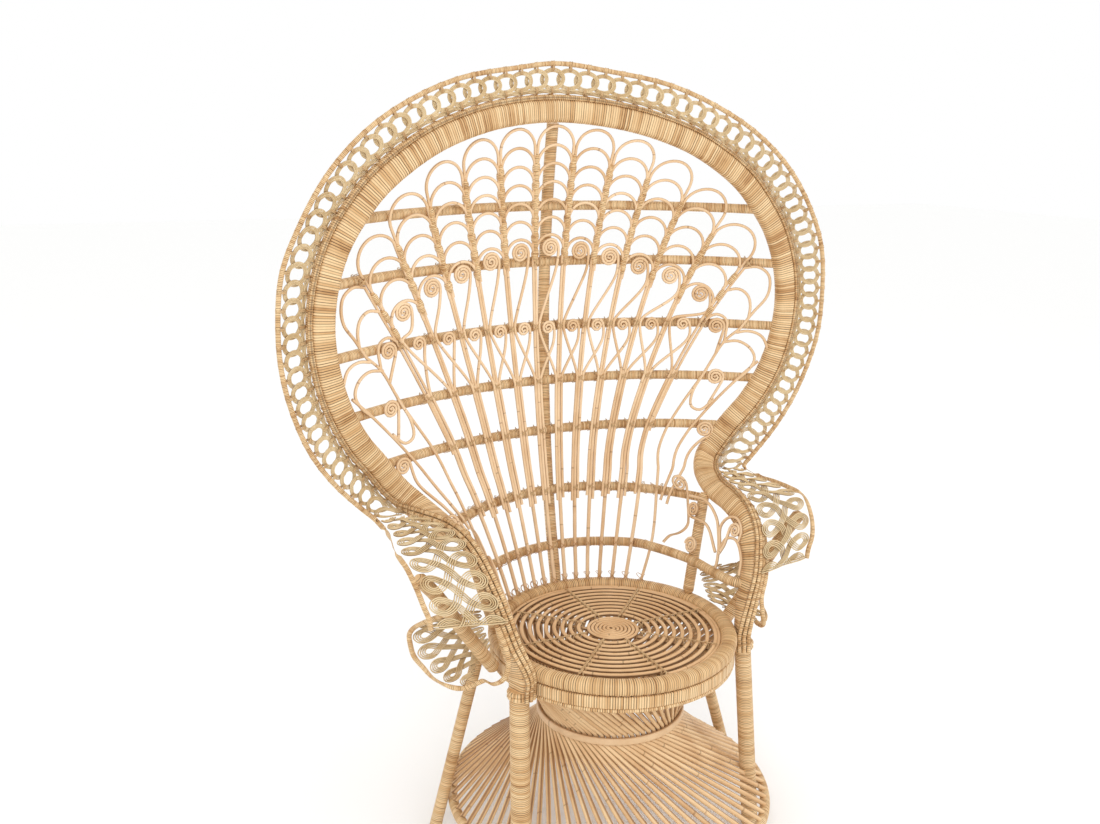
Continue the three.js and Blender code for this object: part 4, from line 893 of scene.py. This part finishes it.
# Between the arches the stakes are wound with peel, thicker where an arch comes in
sleeve = {"width": 12.5, "depth": 8.6, "corner": 3.6, "taper": 0.35, "seed": 131}
sleeve |= {"spacing": 1.0, "groove": 0.08, "swell": 0.07}
joint = sleeve | {"width": 14.6, "depth": 9.8, "corner": 4.2, "taper": 0.4, "seed": 132}
sleeveLow, sleeveHigh, jointAbove, jointBelow = 6, 44, 6, 15
sleeves, joints = [], []
for edge in edges[1:-1]:
    inner = int(abs(edge))
    low, high = largeShares[inner] * fanHeight - sleeveLow, crownShares[inner + 1] * fanHeight - sleeveHigh
    sleeves.append(onFan(stakePlaces(edge, low, high, 60), sleeveOut))
canes("stake_sleeves", sleeves, sleeve, wrapped)
for column in range(-5, 6):
    for bow in innerArches(column, 5):
        for side, end in ((1, bow[0]), (-1, bow[-1])):
            high, low = end[1] + jointAbove, end[1] - jointBelow
            places = stakePlaces(column + side / 2, high, low, 14, -side * 1.2)
            joints.append(onFan(places, jointOut))
canes("stake_joints", joints, joint, wrapped)
print("fan made")

# Lashings where the stakes cross the rods and the rail: turns of peel that cross in front
lash = {"width": 2.5, "depth": 1.1, "spacing": 3.5, "sides": 5}


def lashed(x, z, lean, loop, count):
    turned = np.array([(x + lean * a, z + u, off) for a, u, off in loop])
    loose = closedLoop(turned, count)
    return onFan(loose[:, :2], loose[:, 2], True)


rodLashings = []
lashingReach = {1: 7.5, 2: 8.5, 3: 11, 4: 11, 5: 11}  # half the width, for each rod below the first
for i, wide in lashingReach.items():
    height = rodHeights[i]
    loop = [(-wide, 8, 4.5), (-wide * 0.6, 5, -3.2), (0, 0, -4.8), (wide * 0.6, -5, -3.2), (wide, -8, 4.5)]
    loop += [(wide * 0.8, -9.7, 14), (wide * 0.3, -5, 22.9), (-wide * 0.3, 5, 22.9), (-wide * 0.8, 9.7, 14)]
    for edge in edges + ([-6.5, 6.5] if i == 5 else []):
        x, reach = float(columnX(edge, height)), float(shellReach(height))
        if abs(x) > reach - 12:
            continue
        z = height - rodDroop * (x / reach) ** 2
        rodLashings += [lashed(x, z + shift, lean, loop, 28) for lean in (1, -1) for shift in (0, 2.3)]
canes("rod_lashings", rodLashings, lash | {"seed": 141}, binding)

footLashings = []
for edge in edges + [-6.5, 6.5]:
    for z, deep in ((railHeight, 9), (14, 3)):
        loop = [(-6, 6.5, 3), (-3, 3, -4.6), (3, -3, -4.6), (6, -6.5, 3), (4, -8, deep)]
        loop += [(0, -3, deep * 2 + 7), (0, 3, deep * 2 + 7), (-4, 8, deep)]
        x = float(columnX(edge, z))
        footLashings += [lashed(x, z, lean, loop, 24) for lean in (1, -1)]
canes("foot_lashings", footLashings, lash | {"seed": 142}, lashing)
print("lashings made:", len(rodLashings) + len(footLashings))

# Loops and scrolls that close the fan beside the hoop
outerStemShares = [0.693, 0.573, 0.454, 0.344, 0.325]
loopRows = [
    [
        [0.84, 0.556], [0.779, 0.527], [0.696, 0.454], [0.532, 0.324],
        [0.449, 0.211], [0.386, 0.1], [0.326, 0.01],
    ],
    [[0.913, 0.483], [0.824, 0.437], [0.642, 0.329], [0.54, 0.255], [0.472, 0.205], [0.447, 0.182]],
    [
        [0.84, 0.693], [0.893, 0.696], [0.935, 0.68], [0.946, 0.654],
        [0.935, 0.626], [0.891, 0.595], [0.84, 0.556],
    ],
    [[0.778, 0.642], [0.827, 0.646], [0.864, 0.632], [0.877, 0.608], [0.871, 0.578]],
    [[0.701, 0.577], [0.742, 0.589], [0.785, 0.576], [0.779, 0.527]],
    [[0.826, 0.547], [0.875, 0.551], [0.925, 0.54], [0.952, 0.508]],
    [[0.77, 0.525], [0.835, 0.528], [0.884, 0.511], [0.9, 0.488], [0.877, 0.463], [0.824, 0.437]],
    [[0.74, 0.395], [0.682, 0.37], [0.645, 0.379], [0.649, 0.409], [0.71, 0.465]],
]
scrollRows = [
    [[0.744, 0.562], [0.744, 0.5]],
    [[0.744, 0.446], [0.716, 0.385]],
    [[0.7, 0.325], [0.64, 0.283], [0.55, 0.235], [0.49, 0.198], [0.465, 0.175]],
]
waistScrollRows = {
    "left": [[0.53, 0.206], [0.512, 0.16], [0.42, 0.098]],
    "right": [[0.53, 0.218], [0.512, 0.16], [0.42, 0.098]],
}
sideScroll = {"size": 36, "turns": 2.9, "out": -1.5}
waistScroll = {"size": 32, "turns": 2.5, "out": -1.0, "past": 8, "start": 22, "span": 24, "slope": 0.35}
for name, side in (("left", -1), ("right", 1)):
    scale = [side * fanReach, fanHeight]
    z = np.array(outerStemShares) * fanHeight
    strands = [onFan(smooth(np.stack([legX(side * 6, -side, z) + side * 2.4, z], 1)))]
    strands += [onFan(smooth(np.array(row) * scale)) for row in loopRows]
    for row in scrollRows:
        (x, z), *tail = (np.array(row) * scale).tolist()
        late = 0.25 if tail[0][0] < x - 16.5 else 0.0
        rolled = scroll(x, z, sideScroll["size"], sideScroll["turns"], late)
        strands.append(onFan(withTail(rolled, tail), sideScroll["out"]))
    dress(f"side_loops_{name}", "canes", strands, fan | {"seed": 151 + side}, plain)

    # The waist's scroll lies flat before the shell, which turns forwards there
    (x, z), *tail = (np.array(waistScrollRows[name]) * scale).tolist()
    places = withTail(scroll(x, z, waistScroll["size"], waistScroll["turns"], 0, side), tail)
    points = onShell(places, waistScroll["out"])
    past = abs(x) + waistScroll["past"]
    front = past - np.abs(places[:, 0])
    share = np.clip((front - waistScroll["start"]) / waistScroll["span"], 0, 1)
    flat = shellDepth(past, places[:, 1]) + waistScroll["slope"] * front - 1
    points[:, 1] += (1 - share) * (flat - points[:, 1])
    dress(f"waist_scroll_{name}", "cane", [strand(points, (0, 1, 0))], fan | {"seed": 153 + side}, plain)
print("side loops made")

# Side posts, and the scrolls and arches under the arm
post = pole | {"width": 21, "taper": 0.4, "seed": 161}
panelX, panelLean, panelTurn = 208, 0.3, 0.16
panelNormal = unit(np.array([1, panelTurn, -panelLean]))
panelScroll, railScroll = 31, 35
archRows = [
    [[0.493, 0.935], [0.29, 0.945], [0.122, 0.84], [0.036, 0.685], [-0.014, 0.56]],
    [[-0.014, 0.6], [0.05, 0.78], [0, 0.88], [-0.1, 0.905], [-0.18, 0.82], [-0.18, 0.72]],
    [[-0.014, 0.56], [-0.045, 0.7], [-0.15, 0.725], [-0.26, 0.6], [-0.294, 0.45]],
    [[0, 0.6], [-0.025, 0.475], [-0.027, 0.425]],
]
panelScrollRows = [
    (0.25, [[0.4, 0.83], [0.2, 0.745], [0.02, 0.55]]),
    (0, [[-0.115, 0.8], [-0.05, 0.64], [-0.02, 0.55]]),
]
armScale = [seatRadius, armHeight]


def onPanel(places, out=0.0):
    y, z = np.asarray(places, float).T
    points = np.stack([panelX - panelTurn * y + panelLean * (z - railHeight), y, z], 1)
    return strand(points + panelNormal * out, panelNormal)


panelStrands = [onPanel(smooth(np.array(row) * armScale, 4)) for row in archRows]
for late, row in panelScrollRows:
    (y, z), *tail = (np.array(row) * armScale).tolist()
    panelStrands.append(onPanel(withTail(scroll(y, z, panelScroll, 2.45, late), tail, 4), -1.0))
railRolled = onPanel(scroll(0.29 * seatRadius, 0.52 * armHeight, railScroll, 2.8), -6)
postTop = np.array([1.113 * seatRadius, 0.421 * seatRadius, armHeight - 6])
postLow = np.array([0.896 * seatRadius, 0.281 * seatRadius, 9])
postLine = postLow + (postTop - postLow) * np.linspace(0, 1, 60)[:, None]
dressBoth(
    ("side_post", "pole", [strand(postLine, (0, 1, 0))], post, wrapped),
    ("side_scrolls", "canes", panelStrands, fan | {"bend": 0.4, "seed": 162}, plain),
    ("rail_scroll", "cane", [railRolled], fan | {"bend": 0.2, "seed": 163}, plain),
)

strut = pole | {"width": 24, "spacing": 1.05, "swell": 0.012, "taper": 0.5, "seed": 171}
strutRows = [
    [0.962, -0.166, 0.912], [0.886, -0.154, 0.75], [0.799, -0.127, 0.5],
    [0.715, -0.1, 0.25], [0.628, -0.075, 0], [0.575, -0.062, -0.14],
]
strutLine = Line(np.array(strutRows) * [wingReach, seatRadius, armHeight])
dressBoth(("wing_strut", "pole", [strand(strutLine.even(80, 0.02, 0.97), (0, 1, 0))], strut, wrapped))
print("posts, struts and arm scrolls made")

# Seat: wrapped roll and skirt, a trim cane, spokes, a cane laid round and round, and a coil in the middle
circle = np.linspace(0, 360, 240, endpoint=False)
outward = around(1, circle, 0)


def hooped(sizes, side=(0, 0, 1)):
    return [strand(around(sizes["radius"], circle, sizes["height"]), side, True)]


roll = {"radius": seatRadius - 14, "height": -2, "width": 28, "depth": 24, "corner": 10}
roll |= {"spacing": 1.25, "groove": 0.035, "swell": 0.018, "seed": 181}
dress("seat_roll", "band", hooped(roll, outward), roll, seatWrap)
skirt = {"radius": seatRadius - 6, "height": -25.4, "width": 6, "depth": 21.5, "corner": 2.4}
skirt |= {"spacing": 1.4, "groove": 0.05, "swell": 0.03, "seed": 182}
dress("seat_skirt", "band", hooped(skirt, outward), skirt, wrapped)
trim = {"radius": seatRadius - 6, "height": -39.4, "width": 7}
trim |= {"spacing": 1.3, "sides": 9, "groove": 0.08, "seed": 183}
dress("seat_trim", "cane", hooped(trim), trim, trimWrap)

spoke = {"reach": 190, "height": -7.4, "width": 7, "spacing": 6, "sides": 9, "swell": 0.04, "seed": 185}
spokeSpan = np.linspace(-spoke["reach"], spoke["reach"], 60)
spokes = [strand(around(spokeSpan, azimuth, spoke["height"]), (0, 0, 1)) for azimuth in (0, 45, 90, 135)]
canes("seat_spoke_canes", spokes, spoke, seatCane, "seat_spokes")


def wound(sizes, count):
    angle = np.linspace(0, sizes["turns"] * 360, count)
    radius = sizes["outer"] - angle / 360 * sizes["pitch"]
    return [strand(around(radius, angle, sizes["height"]), (0, 0, 1))]


web = {"outer": 186, "pitch": 14.6, "turns": 9, "height": 0, "width": 8.0}
web |= {"spacing": 5, "sides": 10, "swell": 0.05, "bend": 1.2, "seed": 186}
dress("seat_web", "cane", wound(web, web["turns"] * 60), web, seatCane)
seatEdge = web | {"radius": 189.5, "height": -1.5, "width": 7, "seed": 187}
canes("seat_edge_cane", hooped(seatEdge), seatEdge, seatCane)
coil = {"outer": 46.4, "pitch": 6.85, "turns": 6.7, "height": 0.4, "width": 6.6}
coil |= {"spacing": 4, "sides": 10, "seed": 188}
dress("seat_coil", "cane", wound(coil, 420), coil, seatCane)

# Peel bound diagonally over the web at each spoke, and a strip of it along the spoke
webTie = {"width": 2.6, "depth": 1.2, "spacing": 3.5, "sides": 5, "seed": 189}
stripRadii, stripHeight = range(50, 188, 4), 4.9
webTieLoop = [  # out along the spoke, across it, up
    (-6.5, -4.5, -3), (-3.5, -2.4, 4.6), (3.5, 2.4, 4.6),
    (6.5, 4.5, -3), (4, 4.5, -10.5), (-4, -4.5, -10.5),
]
bindings = []
for azimuth in range(0, 360, 45):
    radial, tangent = around(1.0, azimuth, 0), around(1.0, azimuth + 90, 0)
    for turn in range(web["turns"] + 1):
        radius = web["outer"] - (azimuth / 360 + turn) * web["pitch"]
        if radius < stripRadii.start:
            continue
        for lean in (1, -1):
            loop = [radial * (radius + a) + tangent * b * lean + [0, 0, c] for a, b, c in webTieLoop]
            bindings.append(strand(closedLoop(loop, 20), tangent, True))
    peelStrip = [radial * r + [0, 0, stripHeight + 0.5 * math.sin(r)] for r in stripRadii]
    bindings.append(strand(peelStrip, tangent))
canes("seat_bindings", bindings, webTie, binding)
print("seat made")

# Hourglass: canes from the skirt, side by side at the waist, fanned out to the base ring
stick = {"width": 8.8, "spacing": 9, "sides": 9, "swell": 0.05, "bend": 0.8, "seed": 191}
stickCount, stickLean = 74, 40
stickTop, waistTop = (206, 0, -15), (122, 34, -139.5)  # radius, twist in degrees and height
waistLow, stickFoot = (122, 34, -152.5), (286, 84, -303)
sticks = []
for i in range(stickCount):
    azimuth = i * 360 / stickCount
    line = []
    for start, end, count in ((stickTop, waistTop, 12), (waistLow, stickFoot, 16)):
        high, low = (around(radius, azimuth + twist, height) for radius, twist, height in (start, end))
        line += [high + (low - high) * share for share in np.linspace(0, 1, count)]
    sticks.append(strand(Line(line).even(40), around(1, azimuth + stickLean, 0)))
canes("hourglass_canes", sticks, stick, stickCane, "hourglass_sticks")
waist = {"radius": 130.4, "height": -146, "width": 6, "depth": 13.2, "corner": 2.6}
waist |= {"spacing": 6, "seed": 192}
canes("waist_band", hooped(waist, outward), waist, plain, "waist_ring")
base = {"radius": 287, "height": -312, "width": 18}
base |= {"spacing": 1.4, "sides": 14, "groove": 0.05, "swell": 0.012, "seed": 193}
dress("base_ring", "cane", hooped(base), base, wrapped)

# Legs, with rope collars round the tops of the front ones
leg = {"spacing": 1.05, "sides": 16, "groove": 0.03, "swell": 0.01}
frontLeg = {"left": 33.5, "right": 30, "azimuth": 68, "radius": 237, "footAzimuth": 61, "footRadius": 265}
rearLeg = {"left": 22, "right": 22, "azimuth": 112.7, "radius": 233}
rearLeg |= {"footAzimuth": 102.9, "footRadius": 327}
legTop, floorHeight = -24, -380
for stem, sizes in (("front_leg", frontLeg), ("rear_leg", rearLeg)):
    for name, side in (("left", -1), ("right", 1)):
        top = around(sizes["radius"], side * sizes["azimuth"], legTop)
        foot = around(sizes["footRadius"], side * sizes["footAzimuth"], floorHeight)
        line = top + (foot - top) * np.linspace(0, 1, 80)[:, None]
        given = leg | {"width": sizes[name], "seed": 201 + side}
        dress(f"{stem}_{name}", "pole", [strand(line, (0, 1, 0))], given, wrapped)
collar = {"radius": 16.6, "turn": 125, "width": 8.5, "spacing": 1.6, "sides": 8, "groove": 0.1, "seed": 211}
collarHeights = -28.3, -35.8
for name, side in (("left", -1), ("right", 1)):
    azimuth = side * frontLeg["azimuth"]
    heart = around(frontLeg["radius"], azimuth, 0)
    turn = heart + around(collar["radius"], azimuth + np.linspace(-collar["turn"], collar["turn"], 50), 0)
    ropes = [strand(turn + [0, 0, height], (0, 0, 1)) for height in collarHeights]
    dress(f"leg_collar_{name}", "rope", ropes, collar, wrapped)
print("hourglass and legs made")

# Plain pale floor and soft studio light, in metres
studio = {"floor": (254, 254, 253), "rough": 0.9, "reach": 14.0, "world": 1.0}
keyLight = {"place": (-1.6, -2.6, 3.0), "aim": (0, 0, 0.7), "size": 1.6, "power": 34.0}
fillLight = {"place": (2.8, -1.4, 1.8), "aim": (0, 0, 0.6), "size": 2.2, "power": 16.0}
floorMesh = bpy.data.meshes.new("floor")
reach = studio["reach"]
corners = [(-reach, -reach, 0), (reach, -reach, 0), (reach, reach, 0), (-reach, reach, 0)]
floorMesh.from_pydata(corners, [], [(0, 1, 2, 3)])
floor = bpy.data.objects.new("floor", floorMesh)
bpy.context.scene.collection.objects.link(floor)
floorLook = bpy.data.materials.new("pale_floor")
floorLook.use_nodes = True
floorShader = floorLook.node_tree.nodes["Principled BSDF"]
floorShader.inputs["Base Color"].default_value = linear(studio["floor"])
floorShader.inputs["Roughness"].default_value = studio["rough"]
floor.data.materials.append(floorLook)

world = bpy.data.worlds.new("studio")
world.use_nodes = True
world.node_tree.nodes["Background"].inputs["Color"].default_value = (1, 1, 1, 1)
world.node_tree.nodes["Background"].inputs["Strength"].default_value = studio["world"]
bpy.context.scene.world = world
bpy.context.scene.view_settings.view_transform = "Standard"


def softLight(name, sizes):
    light = bpy.data.lights.new(name, "AREA")
    light.shape, light.size, light.energy = "DISK", sizes["size"], sizes["power"]
    lamp = bpy.data.objects.new(name, light)
    z = unit(np.array(sizes["place"]) - np.array(sizes["aim"]))
    x = unit(np.cross((0, 0, 1), z))
    facing = Matrix((x, np.cross(z, x), z)).transposed().to_4x4()
    lamp.matrix_world = Matrix.Translation(sizes["place"]) @ facing
    bpy.context.scene.collection.objects.link(lamp)


softLight("key_light", keyLight)
softLight("fill_light", fillLight)
print("studio set")
